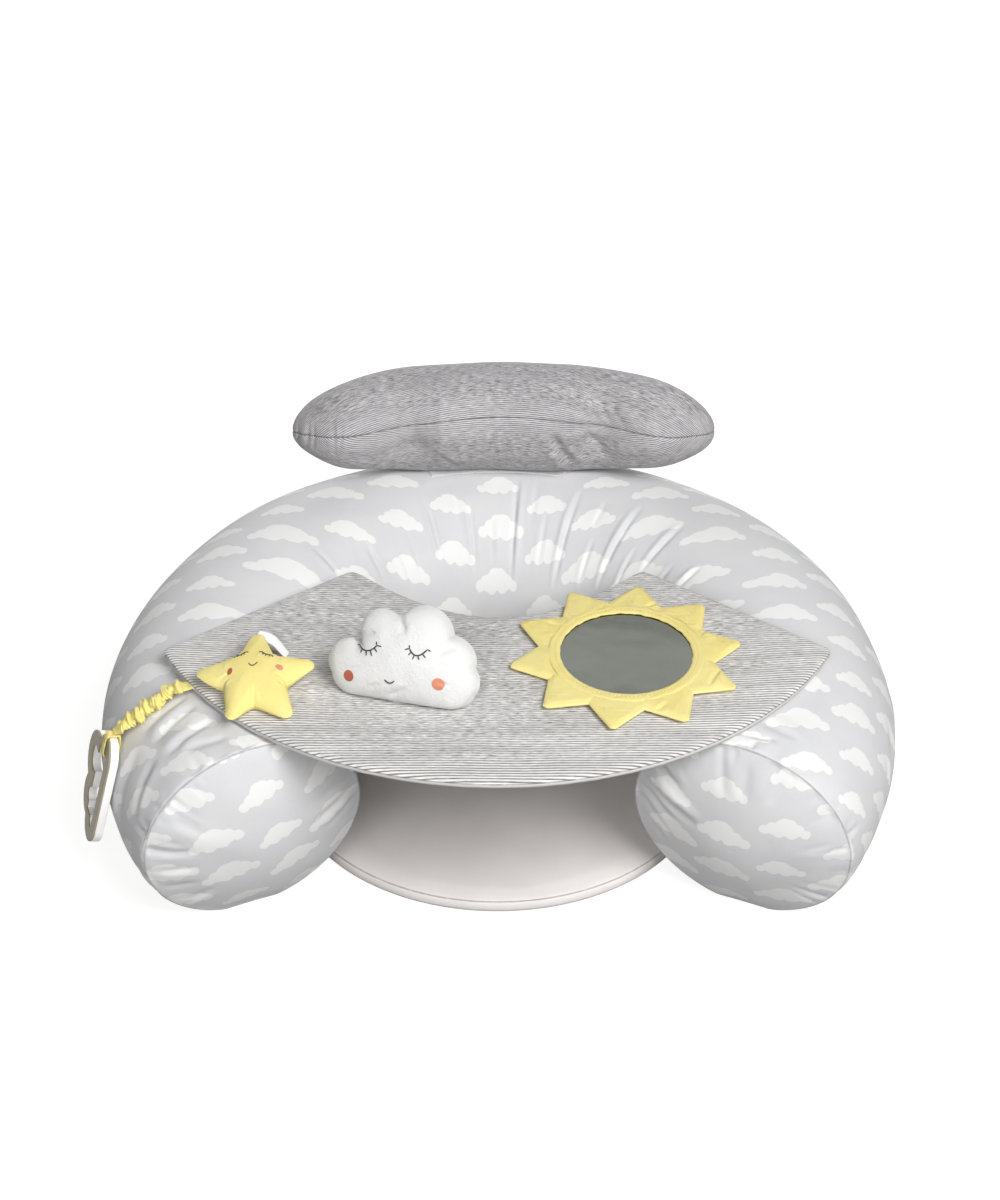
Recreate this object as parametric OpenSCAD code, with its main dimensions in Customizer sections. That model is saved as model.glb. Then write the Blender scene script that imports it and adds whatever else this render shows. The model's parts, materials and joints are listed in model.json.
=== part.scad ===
// Baby floor seat: an air-filled C-shaped ring in a zipped cloth cover, with a
// padded seat mat, a lift-off play tray with three toys and a hanging teether,
// and a lift-off head pillow. Millimetres, +Z up, the arms point to -Y, and the
// origin is on the floor at the centre of the ring.

/* [Ring] */
// From the centre of the seat to the middle of the tube
ring_r = 236; // [222:1:250]
// Radius of the tube behind the back
tube_back_r = 101; // [94:1:106]
// Radius of the tube at the ends of the arms
tube_end_r = 90; // [82:1:96]
// How far the soft tube settles on the floor
floor_sag = 5; // [2:0.5:8]
// Turn from the middle of the back to the end of an arm, degrees
arm_angle = 125.5; // [118:0.5:130]
// How far each end panel bulges
end_bulge = 24; // [12:1:34]
// Outer seam between printed top and plain base, degrees from the crest
seam_out = 120; // [112:1:128]
// Inner seam, where the seat mat is sewn in, degrees from the crest
seam_in = 143; // [136:1:150]

/* [Cloth and air] */
// Lined cover cloth
cover_t = 1.6; // [1.4:0.1:2.4]
// Play between the cover and the air ring
air_gap = 3; // [2.6:0.1:5]
// Film of the air ring
film_t = 0.8; // [0.5:0.1:1.4]
// Bore of the inflation valve
valve_bore = 8; // [6:0.5:10]
// Cloth of the tray, the toys and the pillow
cloth_t = 1.2; // [0.8:0.1:1.6]
// Hook tape and loop tape
tape_t = 0.9; // [0.7:0.1:1.5]
// Gap between pieces that lift apart
fit_gap = 0.3; // [0.3:0.1:0.8]

/* [Seat mat] */
// How far the mat is tucked in past the inner seam, under the tube
mat_tuck = 8; // [2:0.5:8.5]
// How much tighter the mat's front edge curves than its back
mat_front_in = 3; // [0:0.5:8]
// From the ring centre to the front edge of the mat
mat_reach = 139; // [115:1:150]
// Thickness of the mat
mat_t = 13; // [9:0.5:15]

/* [Tray] */
// Half the width of the tray at its side corners
tray_half_w = 268; // [250:1:276]
// From the ring centre to the front edge of the tray
tray_reach = 201; // [180:1:220]
// How far in front of the ring centre the side corners lie
tray_side_y = 37; // [30:1:55]
// Half the width between the back corners
tray_back_x = 122; // [105:1:135]
// How far behind the ring centre the back corners lie
tray_back_y = 73; // [60:1:85]
// How far behind the ring centre the waist notch starts
notch_y = 7; // [0:1:20]
// Thickness of the tray
tray_t = 7; // [6:0.5:11]
// Rounding of the tray's corners
tray_corner_r = 7; // [4:1:14]

/* [Pillow] */
// Length of the head pillow
pillow_l = 376; // [330:2:420]
// Depth of the pillow, front to back
pillow_d = 104; // [90:1:125]
// Height of the pillow
pillow_h = 97; // [80:1:110]
// How far the pillow's ends bend forward
pillow_bend = 25; // [10:1:45]
// How far the pillow lies behind the crest of the ring
pillow_back = 19; // [0:1:26]

/* [Toys] */
// Radius of the star to its tips
star_r = 47.5; // [44:0.5:54]
// Thickness of the star
star_t = 27; // [20:1:34]
// How far the star leans back, its top arm raised, degrees
star_lean = 10; // [0:1:12]
// Width of the cloud
cloud_w = 122; // [104:1:130]
// Thickness of the cloud
cloud_t = 44; // [34:1:52]
// How far the cloud leans back, degrees
cloud_lean = 27; // [15:1:35]
// Radius of the mirror that shows
mirror_r = 53; // [44:0.5:58]
// Radius of the sun to the tips of its rays
sun_r = 93; // [86:1:96]
// Number of rays
ray_count = 10; // [8:1:14]

/* [Strap and teether] */
// Width of the gathered strap
strap_w = 14; // [10:0.5:17]
// Thickness of the gathered strap
strap_t = 6; // [4:0.5:8]
// Number of gathers
gathers = 9; // [6:1:12]
// Length of the teether
teether_l = 97; // [86:1:108]
// Thickness of the teether
teether_t = 8; // [6:0.5:10]
// Width of the teether's rim
teether_rim = 12; // [9:0.5:14]
// Play between the strap's end loop and the round end of the teether's opening
loop_play = 0.4; // [0.3:0.1:2]

/* [Zip] */
// Half the turn that the zip covers, degrees
zip_half = 31; // [24:1:33]
// Pitch of the teeth along one side
tooth_pitch = 6; // [5:0.25:8]

/* [Hidden] */
$fn = 48;

print_cloth = [0.87, 0.87, 0.875];
plain_cloth = [0.80, 0.785, 0.77];
stripe_cloth = [0.60, 0.59, 0.60];
yellow_cloth = [0.98, 0.92, 0.50];
white_cloth = [0.94, 0.935, 0.93];
tape_colour = [0.88, 0.88, 0.88];

// Stations along the ring and around the tube
ring_stations = 32;
air_stations = 26;
taper_from = 35;       // the tube tapers from here to the end of each arm
panel_turn_from = 90;  // and its sections turn to meet the end panel from here
panel_yaw = 10.5;      // turn of the end panel, outer edge back
panel_pitch = 9;       // tilt of the end panel, top edge forward
sewn_in = cover_t * 0.75;
stack = 2 * tape_t + fit_gap;
film_off = -cover_t - air_gap;

// ---- rules shared by the pieces ----

function steps(a, b, n) = [for (i = [0:n - 1]) a + (b - a) * i / (n - 1)];
function reversed(list) = [for (i = [len(list) - 1:-1:0]) list[i]];
function smooth(x) = let (u = min(1, max(0, x))) u * u * (3 - 2 * u);
function turned(x, y, a) = [x * cos(a) - y * sin(a), x * sin(a) + y * cos(a)];
function unit(v) = v / norm(v);
function ray_to_circle(t, x, y, r) =
    let (along = x * cos(t) + y * sin(t), across = y * cos(t) - x * sin(t))
    abs(across) < r ? along + sqrt(r * r - across * across) : 0;

function tube_r(phi) =
    tube_back_r - (tube_back_r - tube_end_r)
        * smooth((abs(phi) - taper_from) / (arm_angle - taper_from));
function crest_z(phi) = 2 * tube_r(phi) - floor_sag;

// A point of the ring: phi is the turn from the middle of the back, a the angle
// out from the crest, off the distance outside the cover, low the lowest height
function tube_point(phi, a, off, low) =
    let (
        r = tube_r(phi),
        rho = ring_r + (r + off) * sin(a),
        z = r - floor_sag + (r + off) * cos(a),
        w = smooth((abs(phi) - panel_turn_from) / (arm_angle - panel_turn_from)),
        lead = w * (r + off) * (cos(a) * tan(panel_pitch) - sin(a) * tan(panel_yaw)),
        turn = phi + sign(phi) * lead / rho * 180 / PI
    )
    [rho * sin(turn), rho * cos(turn), max(z, low)];
function tube_grid(phis, angles, off, low) =
    [for (phi = phis) [for (a = angles) tube_point(phi, a, off, low)]];
// Height of the ring's upper surface, moved out by off, over a point of the plan
function ring_top(x, y, off) =
    let (r = tube_r(atan2(x, y)), d = norm([x, y]) - ring_r, reach = r + off)
    abs(d) < reach ? r - floor_sag + sqrt(reach * reach - d * d) : 0;

// A closed sheet between two grids of points with the same rows and columns
module sheet(outer, inner) {
    rows = len(outer);
    cols = len(outer[0]);
    size = rows * cols;
    function at(side, i, j) = side * size + i * cols + j;
    function quad(p, q, r, s) = [[p, q, r], [p, r, s]];
    faces = concat(
        [for (i = [0:rows - 2], j = [0:cols - 2])
            each quad(at(0, i, j), at(0, i, j + 1), at(0, i + 1, j + 1), at(0, i + 1, j))],
        [for (i = [0:rows - 2], j = [0:cols - 2])
            each quad(at(1, i, j), at(1, i + 1, j), at(1, i + 1, j + 1), at(1, i, j + 1))],
        [for (i = [0:rows - 2])
            each quad(at(0, i, 0), at(0, i + 1, 0), at(1, i + 1, 0), at(1, i, 0))],
        [for (i = [0:rows - 2])
            each quad(at(0, i, cols - 1), at(1, i, cols - 1),
                      at(1, i + 1, cols - 1), at(0, i + 1, cols - 1))],
        [for (j = [0:cols - 2])
            each quad(at(0, 0, j), at(1, 0, j), at(1, 0, j + 1), at(0, 0, j + 1))],
        [for (j = [0:cols - 2])
            each quad(at(0, rows - 1, j), at(0, rows - 1, j + 1),
                      at(1, rows - 1, j + 1), at(1, rows - 1, j))]
    );
    polyhedron(concat([for (row = outer) each row], [for (row = inner) each row]), faces);
}

// A closed skin from one point through a stack of loops to another point
module skin(start, loops, end) {
    n = len(loops[0]);
    last = len(loops) - 1;
    function at(k, i) = 2 + k * n + i % n;
    faces = concat(
        [for (i = [0:n - 1]) [0, at(0, i + 1), at(0, i)]],
        [for (k = [0:last - 1], i = [0:n - 1])
            each [[at(k, i), at(k + 1, i + 1), at(k + 1, i)],
                  [at(k, i), at(k, i + 1), at(k + 1, i + 1)]]],
        [for (i = [0:n - 1]) [1, at(last, i), at(last, i + 1)]]
    );
    polyhedron(concat([start, end], [for (loop = loops) each loop]), faces);
}

// ---- ring: cover, end panels and air ring ----

ring_phis = steps(-arm_angle, arm_angle, ring_stations);
floor_half = acos(1 - floor_sag / tube_back_r);
top_angles = steps(-seam_in, seam_out, 19);
base_angles = concat(steps(seam_out, 180 - floor_half, 4), [180],
                     steps(180 + floor_half, 360 - seam_in, 3));

module ring_cover_top() color(print_cloth)
    sheet(tube_grid(ring_phis, top_angles, 0, 0),
          tube_grid(ring_phis, top_angles, -cover_t, cover_t));

module ring_cover_base() color(plain_cloth)
    sheet(tube_grid(ring_phis, base_angles, 0, 0),
          tube_grid(ring_phis, base_angles, -cover_t, cover_t));

// A domed panel that closes the tube at phi: rim angles in order round the tube
module end_dome(phi, angles, off, low, t, bulge) {
    side = sign(phi);
    centre = tube_point(phi, 0, -tube_r(phi), 0);
    up = tube_point(phi, 0, 0, 0) - centre;
    out = tube_point(phi, 90, 0, 0) - centre;
    normal = unit(-side * cross(up, out));
    function panel(s, o, l, back) =
        [for (a = angles)
            centre + s * (tube_point(phi, a, o, l) - centre)
                + normal * (bulge * (1 - s * s) - back)];
    domes = concat(
        [for (s = [0.3, 0.6, 0.85]) panel(s, off, low, 0)],
        [panel(1, off, low, 0), panel(1, off - t, low + t, 0)],
        [for (s = [0.85, 0.6, 0.3]) panel(s, off - t, low + t, t)]
    );
    skin(centre + normal * bulge, side < 0 ? domes : [for (loop = domes) reversed(loop)],
         centre + normal * (bulge - t));
}

rim_angles = concat(top_angles, [for (i = [1:len(base_angles) - 2]) base_angles[i]]);
module end_panel_left() color(print_cloth)
    end_dome(-arm_angle, rim_angles, 0, 0, cover_t, end_bulge);
module end_panel_right() color(print_cloth)
    end_dome(arm_angle, rim_angles, 0, 0, cover_t, end_bulge);

// The air ring lies on the base of the cover, clear of it everywhere else
air_half = acos((tube_back_r - floor_sag - cover_t) / (tube_back_r + film_off));
air_top_angles = steps(-90, 90, 12);
air_low_angles = concat(steps(90, 180 - air_half, 5), [180], steps(180 + air_half, 270, 5));
air_end = arm_angle - 1.5 * (cover_t + air_gap) / ring_r * 180 / PI;
air_phis = steps(-air_end, air_end, air_stations);
film_low = cover_t;
valve_phi = 18;
valve_a = 104;
valve_neck_r = valve_bore / 2 + 2.5;

// Stands a piece on the tube behind the back: X along the ring, Z out of the tube
module on_back(phi, a) {
    rotate([0, 0, -phi]) translate([0, ring_r, tube_back_r - floor_sag])
        rotate([-a, 0, 0]) translate([0, 0, tube_back_r]) children();
}

module air_ring_upper() color("gainsboro")
    sheet(tube_grid(air_phis, air_top_angles, film_off, film_low),
          tube_grid(air_phis, air_top_angles, film_off - film_t, film_low + film_t));

module air_ring_lower() color("gainsboro")
    difference() {
        sheet(tube_grid(air_phis, air_low_angles, film_off, film_low),
              tube_grid(air_phis, air_low_angles, film_off - film_t, film_low + film_t));
        on_back(valve_phi, valve_a) translate([0, 0, film_off - 10])
            cylinder(r = valve_neck_r, h = 20, $fn = 24);
    }

air_rim = concat(air_top_angles, [for (i = [1:len(air_low_angles) - 2]) air_low_angles[i]]);
module air_end_left() color("gainsboro")
    end_dome(-air_end, air_rim, film_off, film_low, film_t, end_bulge - 4);
module air_end_right() color("gainsboro")
    end_dome(air_end, air_rim, film_off, film_low, film_t, end_bulge - 4);

// Valve: a flange welded inside the film, a neck through it and a stopper
valve_depth = 18;
valve_flange_r = valve_neck_r + 7;
module air_valve() color("white")
    on_back(valve_phi, valve_a) translate([0, 0, film_off]) difference() {
        union() {
            translate([0, 0, -valve_depth]) cylinder(r = valve_neck_r, h = valve_depth + 0.1);
            translate([0, 0, -film_t - 2.6]) cylinder(r = valve_flange_r, h = 2.6);
        }
        translate([0, 0, 2 - valve_depth]) cylinder(d = valve_bore, h = valve_depth);
        translate([0, 0, -valve_depth - 1]) cylinder(d = valve_bore - 3, h = 4);
    }
module valve_plug() color("white")
    on_back(valve_phi, valve_a) translate([0, 0, film_off]) {
        translate([0, 0, 0.1]) cylinder(r = valve_neck_r - 0.5, h = 1.2);
        translate([0, 0, -9]) cylinder(r = valve_bore / 2 - 0.05, h = 9.1);
    }

// ---- seat mat, sewn to the cover's inner seam ----

mat_back_r = ring_r - tube_back_r * sin(seam_in) + mat_tuck;
mat_front_r = mat_back_r - mat_front_in;
module mat_disc(r, t) {
    rotate_extrude() {
        square([r - t / 2, t]);
        intersection() {
            translate([r - t / 2, t / 2]) circle(d = t);
            translate([r - t / 2, 0]) square(t);
        }
    }
}
module mat_solid(inset) {
    translate([0, 0, inset]) intersection() {
        mat_disc(mat_back_r - inset, mat_t - 2 * inset);
        translate([0, mat_front_r - mat_reach, 0])
            mat_disc(mat_front_r - inset, mat_t - 2 * inset);
    }
}
module mat_half(low) {
    translate([-ring_r, -ring_r, low]) cube([2 * ring_r, 2 * ring_r, mat_t / 2]);
}
module mat_cover() color(plain_cloth)
    difference() {
        intersection() { mat_solid(0); mat_half(mat_t / 2); }
        mat_solid(cover_t);
    }
module mat_padding() color("white") mat_solid(cover_t);
module mat_base() color(plain_cloth)
    difference() {
        intersection() { mat_solid(0); mat_half(0); }
        mat_solid(cover_t);
    }

// ---- zip in the outer seam behind the back ----

tooth_w = 2.2;
tooth_l = 3.5;
tooth_h = 1.7;
zip_tape_w = 11;
zip_tape_t = 0.8;
chain_gap = 0.4;
zip_step = tooth_pitch / (ring_r + tube_back_r * sin(seam_out)) * 180 / PI;
tooth_count = floor(2 * (zip_half - 1) / zip_step);
slider_l = 13;
slider_w = 10.4;
slider_t = 1.8;
slider_top = zip_tape_t + tooth_h + chain_gap + slider_t;
slider_phi = -(zip_half - 1) + zip_step * 1.3;
pull_z = slider_top + 1.6;
pull_bore = 1.8;

function back_point(a, off) =
    [ring_r + (tube_back_r + off) * sin(a),
     tube_back_r - floor_sag + (tube_back_r + off) * cos(a)];
module back_strip(a1, a2, low, high) {
    rotate([0, 0, 90 - zip_half]) rotate_extrude(angle = 2 * zip_half)
        polygon(concat([for (a = steps(a1, a2, 4)) back_point(a, high)],
                       [for (a = steps(a2, a1, 4)) back_point(a, low)]));
}
tape_turn = zip_tape_w / tube_back_r * 180 / PI;
slit_turn = 0.25 / tube_back_r * 180 / PI;
module zip_tape_upper() color(tape_colour)
    back_strip(seam_out - tape_turn, seam_out - slit_turn, -sewn_in, zip_tape_t);
module zip_tape_lower() color(tape_colour)
    back_strip(seam_out + slit_turn, seam_out + tape_turn, -sewn_in, zip_tape_t);

// Moulded teeth: a shank clamped on the tape and a rounded head past the seam
module zip_teeth(side) {
    for (i = [0:tooth_count - 1])
        on_back((i - (tooth_count - 1) / 2) * zip_step - side * zip_step / 4, seam_out)
            translate([0, 0, zip_tape_t - 0.3]) linear_extrude(tooth_h + 0.3) {
                translate([-tooth_w / 3, side > 0 ? -0.2 : 0.2 - tooth_l])
                    square([tooth_w * 2 / 3, tooth_l]);
                translate([0, side * 0.4]) circle(d = tooth_w, $fn = 16);
                translate([-tooth_w / 2, side > 0 ? tooth_l - 1.4 : 0.2 - tooth_l])
                    square([tooth_w, 1.2]);
            }
}
module zip_teeth_upper() color("white") zip_teeth(-1);
module zip_teeth_lower() color("white") zip_teeth(1);

stop_phi = zip_half - 0.4;
module zip_stops() color("silver")
    for (phi = [-stop_phi, stop_phi]) on_back(phi, seam_out)
        translate([-0.9, -tooth_l, zip_tape_t - 0.3]) cube([1.8, 2 * tooth_l, tooth_h + 0.3]);

// Slider: a shield over the teeth, two side walls and two lugs with a pin
module zip_slider() color("silver")
    on_back(slider_phi, seam_out) {
        translate([0, 0, slider_top - slider_t]) linear_extrude(slider_t) union() {
            translate([slider_l * 0.22, 0]) circle(d = slider_w);
            translate([-slider_l * 0.42, -slider_w * 0.38]) square([slider_l * 0.6, slider_w * 0.76]);
        }
        for (side = [-1, 1])
            translate([-slider_l * 0.42, side * (tooth_l + 0.5) - 0.5 + side * 0.5,
                       zip_tape_t + chain_gap])
                cube([slider_l * 0.7, 1, tooth_h + slider_t]);
        for (side = [-1, 1])
            translate([-1.6, side * 2.6 - 0.6, slider_top - 0.5]) cube([3.2, 1.2, 3.6]);
        translate([0, 2.6, pull_z]) rotate([90, 0, 0]) cylinder(d = pull_bore - 0.1, h = 5.2, $fn = 24);
    }
// Pull: a tapered tab with an eye that turns on the slider's pin
module zip_pull() color("silver")
    on_back(slider_phi, seam_out) translate([0, 1.7, pull_z]) rotate([90, 0, 0])
        linear_extrude(3.4) difference() {
            union() {
                circle(d = pull_bore + 1.4);
                translate([0, -0.8]) square([20, 1.6]);
                translate([20, 0]) circle(d = 2.4, $fn = 24);
            }
            circle(d = pull_bore);
        }

// ---- loop tape sewn to the ring ----

module tube_patch(phi1, phi2, a1, a2, low, high) {
    phis = steps(phi1, phi2, 7);
    angles = steps(a1, a2, 4);
    sheet(tube_grid(phis, angles, high, 0), tube_grid(phis, angles, low, 0));
}
tray_patch_phi = 101;
tray_patch_l = 32;
tray_patch_w = 26;
tray_patch_turn = tray_patch_l / ring_r * 90 / PI;
tray_patch_a = tray_patch_w / tube_end_r * 90 / PI;
module tray_loop_left() color(tape_colour)
    tube_patch(-tray_patch_phi - tray_patch_turn, tray_patch_turn - tray_patch_phi,
               -tray_patch_a, tray_patch_a, -sewn_in, tape_t);
module tray_loop_right() color(tape_colour)
    tube_patch(tray_patch_phi - tray_patch_turn, tray_patch_phi + tray_patch_turn,
               -tray_patch_a, tray_patch_a, -sewn_in, tape_t);
pillow_patch_turn = 15;
pillow_patch_a = 9;
pillow_patch_mid = 5;
module pillow_patch(low, high) {
    tube_patch(-pillow_patch_turn, pillow_patch_turn, pillow_patch_mid - pillow_patch_a,
               pillow_patch_mid + pillow_patch_a, low, high);
}
module pillow_loop() color(tape_colour) pillow_patch(-sewn_in, tape_t);

// ---- tray, resting on the crests of the two arms ----

rest_back = 95;
rest_front = arm_angle - 2;
function crest_y(phi) = ring_r * cos(phi);
tray_tilt = atan2(crest_z(rest_back) - crest_z(rest_front), crest_y(rest_back) - crest_y(rest_front));
tray_z = stack + max([for (phi = steps(rest_back, rest_front, 9))
    crest_z(phi) - crest_y(phi) * tan(tray_tilt)]);
module on_tray(x, y, z) {
    translate([0, 0, tray_z]) rotate([tray_tilt, 0, 0]) translate([x, y, z]) children();
}

// Outline: a front arc through the side corners, straight flanks and a waist notch
front_depth = tray_reach - tray_side_y;
front_r = (tray_half_w * tray_half_w + front_depth * front_depth) / (2 * front_depth);
front_half = asin(tray_half_w / front_r);
notch_power = 1.9;
tray_points = concat(
    [for (a = steps(-front_half, front_half, 27))
        [front_r * sin(a), front_r - tray_reach - front_r * cos(a)]],
    [for (x = steps(tray_back_x, -tray_back_x, 21))
        [x, notch_y + (tray_back_y - notch_y) * pow(abs(x) / tray_back_x, notch_power)]]
);
module tray_outline(inset) {
    offset(delta = -inset) offset(r = tray_corner_r, $fn = 32)
        offset(delta = -tray_corner_r) polygon(tray_points);
}
tray_seam = tray_t * 0.6;
module tray_cover_top() color(stripe_cloth)
    on_tray(0, 0, tray_seam) difference() {
        linear_extrude(tray_t - tray_seam) tray_outline(0);
        translate([0, 0, -1]) linear_extrude(tray_t - tray_seam - cloth_t + 1)
            tray_outline(cloth_t);
    }
module tray_core() color("white")
    on_tray(0, 0, cloth_t) linear_extrude(tray_t - 2 * cloth_t) tray_outline(cloth_t);
module tray_cover_base() color(plain_cloth)
    on_tray(0, 0, 0) difference() {
        linear_extrude(tray_seam) tray_outline(0);
        translate([0, 0, cloth_t]) linear_extrude(tray_t) tray_outline(cloth_t);
    }
module tray_hook(side) {
    on_tray(side * (ring_r * sin(tray_patch_phi) - 2), crest_y(tray_patch_phi), -tape_t)
        rotate([0, 0, side * (90 - tray_patch_phi)]) translate([-12, -15, 0])
            cube([24, 30, tape_t]);
}
module tray_hook_left() color(tape_colour) tray_hook(-1);
module tray_hook_right() color(tape_colour) tray_hook(1);

// ---- toys: stuffed star, stuffed cloud and sun with a mirror ----

star_x = -0.7 * tray_half_w;
star_y = -0.463 * tray_reach;
cloud_x = -0.28 * tray_half_w;
cloud_y = -0.515 * tray_reach;
cloud_yaw = 14;
sun_x = 0.381 * tray_half_w;
sun_y = -0.259 * tray_reach;
toy_patch_r = 13;
module toy_loop(x, y) {
    on_tray(x, y, tray_t) cylinder(r = toy_patch_r, h = tape_t);
}
module toy_hook(x, y) {
    on_tray(x, y, tray_t + tape_t + fit_gap) cylinder(r = toy_patch_r - 1, h = tape_t);
}
cloud_patch_y = cloud_y + 9;
module star_loop() color(tape_colour) toy_loop(star_x, star_y);
module cloud_loop() color(tape_colour) toy_loop(cloud_x, cloud_patch_y);
module sun_loop() color(tape_colour) toy_loop(sun_x, sun_y);
module star_hook() color(tape_colour) toy_hook(star_x, star_y);
module cloud_hook() color(tape_colour) toy_hook(cloud_x, cloud_patch_y);
module sun_hook() color(tape_colour) toy_hook(sun_x, sun_y);

// Star: five puffy arms that taper to round tips, flat where it lies
star_valley = star_r * 0.54;
star_tip_round = 6;
star_sharp = star_r + 1.5 * star_tip_round;
star_turn = 92;
star_squash = 4;
// The lean, as far as the lower arms' seam stays off the tray
star_slope = min(tan(star_lean), (star_t / 2 - star_squash - 1.5 * cloth_t) / (0.82 * star_r));
function star_z(y, h) = star_t / 2 - star_squash + h + y * star_slope;
function star_edge(t) =
    let (
        m = abs((t - star_turn + 36 + 720) % 72 - 36),
        line = star_sharp * star_valley * sin(36)
            / (star_sharp * sin(m) + star_valley * sin(36 - m)),
        tip = ray_to_circle(m, star_r - star_tip_round, 0, star_tip_round)
    )
    tip > 0 ? min(line, tip) : line;
function star_loop_at(s, inset, side, low) =
    [for (i = [0:49])
        let (t = star_turn + i * 7.2, r = star_edge(t) - inset,
             h = (star_t / 2 - inset) * sqrt(1 - s * s))
        [s * r * cos(t), s * r * sin(t), max(low, star_z(s * r * sin(t), side * h))]];
star_levels = [0.35, 0.62, 0.84, 0.96];
function star_half(inset, side, low) = [for (s = star_levels) star_loop_at(s, inset, side, low)];
function star_pole(inset, side, low) =
    [0, 0, max(low, star_z(0, side * (star_t / 2 - inset)))];
module star_shell(side, low) {
    outer = concat(star_half(0, side, 0), [star_loop_at(1, 0, side, 0)]);
    inner = concat([star_loop_at(1, cloth_t, side, low)], reversed(star_half(cloth_t, side, low)));
    loops = concat(outer, inner);
    skin(star_pole(0, side, 0), side > 0 ? loops : [for (l = loops) reversed(l)],
         star_pole(cloth_t, side, low));
}
module star_front() color(yellow_cloth)
    on_tray(star_x, star_y, tray_t + stack) star_shell(1, 0);
module star_back() color(yellow_cloth)
    on_tray(star_x, star_y, tray_t + stack) star_shell(-1, cloth_t);
module star_filling() color("white")
    on_tray(star_x, star_y, tray_t + stack)
        skin(star_pole(cloth_t, 1, 0),
             concat(star_half(cloth_t, 1, 0), [star_loop_at(1, cloth_t, 1, 0)],
                    reversed(star_half(cloth_t, -1, cloth_t))),
             star_pole(cloth_t, -1, cloth_t));
// A folded ribbon tag sewn into the seam of the star's top arm
ribbon_w = 11;
ribbon_reach = 31;
function ribbon_side(points) =
    [for (p = points)
        [p[0], p[1] + star_r * star_slope * (ribbon_reach - p[0]) / ribbon_reach]];
module star_ribbon() color("white")
    on_tray(star_x - 3, star_y + star_r + 8, tray_t + stack)
        rotate([0, 0, -15]) rotate([90, 0, 0]) linear_extrude(ribbon_w) difference() {
            polygon(ribbon_side([[-2, 8.2], [14, 14.5], [ribbon_reach, 0.8], [29, 0.2],
                                 [14, 9.2], [-2, 7]]));
            polygon(ribbon_side([[1, 8.4], [14, 13.2], [26, 3.4], [14, 10.4], [1, 7.8]]));
        }

// Cloud: lobes as circles, each [across, up, radius] as shares of its width
cloud_lobes = [[-0.35, 0.215, 0.15], [-0.165, 0.44, 0.14], [0.115, 0.45, 0.19],
               [0.30, 0.31, 0.165], [0.365, 0.19, 0.135], [-0.32, 0.15, 0.15],
               [0.33, 0.15, 0.15], [0, 0.3, 0.26]];
cloud_mid = 0.29 * cloud_w;
cloud_flat = 0.32 * cloud_w;
cloud_squash = 4;
function cloud_edge(t) =
    max(concat(
        [for (lobe = cloud_lobes)
            ray_to_circle(t, lobe[0] * cloud_w, lobe[1] * cloud_w - cloud_mid, lobe[2] * cloud_w)],
        [sin(t) < -0.1 && abs(cos(t) / sin(t)) * cloud_mid < cloud_flat ? -cloud_mid / sin(t) : 0]));
function cloud_point(u, v, w, low) =
    let (
        back = v * sin(cloud_lean) - w * cos(cloud_lean),
        up = v * cos(cloud_lean) + w * sin(cloud_lean) - cloud_squash,
        plan = turned(u, back, -cloud_yaw)
    )
    [plan[0], plan[1], max(low, up)];
// The lobes fade into a plain oval towards the middle of each face
function cloud_oval(t) =
    norm([0.46 * cloud_w * cos(t), (sin(t) > 0 ? 0.36 : 0.29) * cloud_w * sin(t)]);
function cloud_loop_at(s, inset, side, low) =
    [for (i = [0:59])
        let (t = i * 6, w = pow(s, 2.5),
             r = s * (w * cloud_edge(t) + (1 - w) * cloud_oval(t) - inset),
             h = (cloud_t / 2 - inset) * sqrt(1 - pow(s, 2.4)))
        cloud_point(r * cos(t), r * sin(t) + cloud_mid, side * h, low)];
cloud_levels = [0.4, 0.68, 0.88, 0.97];
function cloud_half(inset, side, low) =
    [for (s = cloud_levels) cloud_loop_at(s, inset, side, low)];
function cloud_pole(inset, side, low) =
    cloud_point(0, cloud_mid, side * (cloud_t / 2 - inset), low);
module cloud_shell(side) {
    loops = concat(cloud_half(0, side, 0), [cloud_loop_at(1, 0, side, 0)],
                   [cloud_loop_at(1, cloth_t, side, cloth_t)],
                   reversed(cloud_half(cloth_t, side, cloth_t)));
    skin(cloud_pole(0, side, 0), side > 0 ? loops : [for (l = loops) reversed(l)],
         cloud_pole(cloth_t, side, cloth_t));
}
module cloud_front() color(white_cloth)
    on_tray(cloud_x, cloud_y, tray_t + stack) cloud_shell(1);
module cloud_back() color(white_cloth)
    on_tray(cloud_x, cloud_y, tray_t + stack) cloud_shell(-1);
module cloud_filling() color("white")
    on_tray(cloud_x, cloud_y, tray_t + stack)
        skin(cloud_pole(cloth_t, 1, cloth_t),
             concat(cloud_half(cloth_t, 1, cloth_t), [cloud_loop_at(1, cloth_t, 1, cloth_t)],
                    reversed(cloud_half(cloth_t, -1, cloth_t))),
             cloud_pole(cloth_t, -1, cloth_t));

// Sun: two layers of pointed petals with wadding, round a bound acrylic mirror
sun_valley = sun_r * 0.755;
sun_turn = 81;
sun_pad = 2.2;
mirror_lip = 3;
ray_step = 360 / ray_count;
module sun_outline(inset) {
    offset(delta = -inset) offset(r = 2.5, $fn = 20) offset(delta = -2.5)
        polygon([for (i = [0:ray_count - 1], half = [0, 1])
            let (t = sun_turn + (i + half / 2) * ray_step, r = half == 0 ? sun_r + 3 : sun_valley)
            [r * cos(t), r * sin(t)]]);
}
module on_sun(z) { on_tray(sun_x, sun_y, tray_t + stack + z) children(); }
module sun_back() color(yellow_cloth) on_sun(0) linear_extrude(cloth_t) sun_outline(0);
module sun_padding() color("white") on_sun(cloth_t) linear_extrude(sun_pad) difference() {
    sun_outline(cloth_t);
    circle(r = mirror_r + mirror_lip + 0.2);
}
module sun_front() color(yellow_cloth)
    on_sun(cloth_t + sun_pad) linear_extrude(cloth_t) difference() {
        sun_outline(0);
        circle(r = mirror_r);
    }
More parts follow.
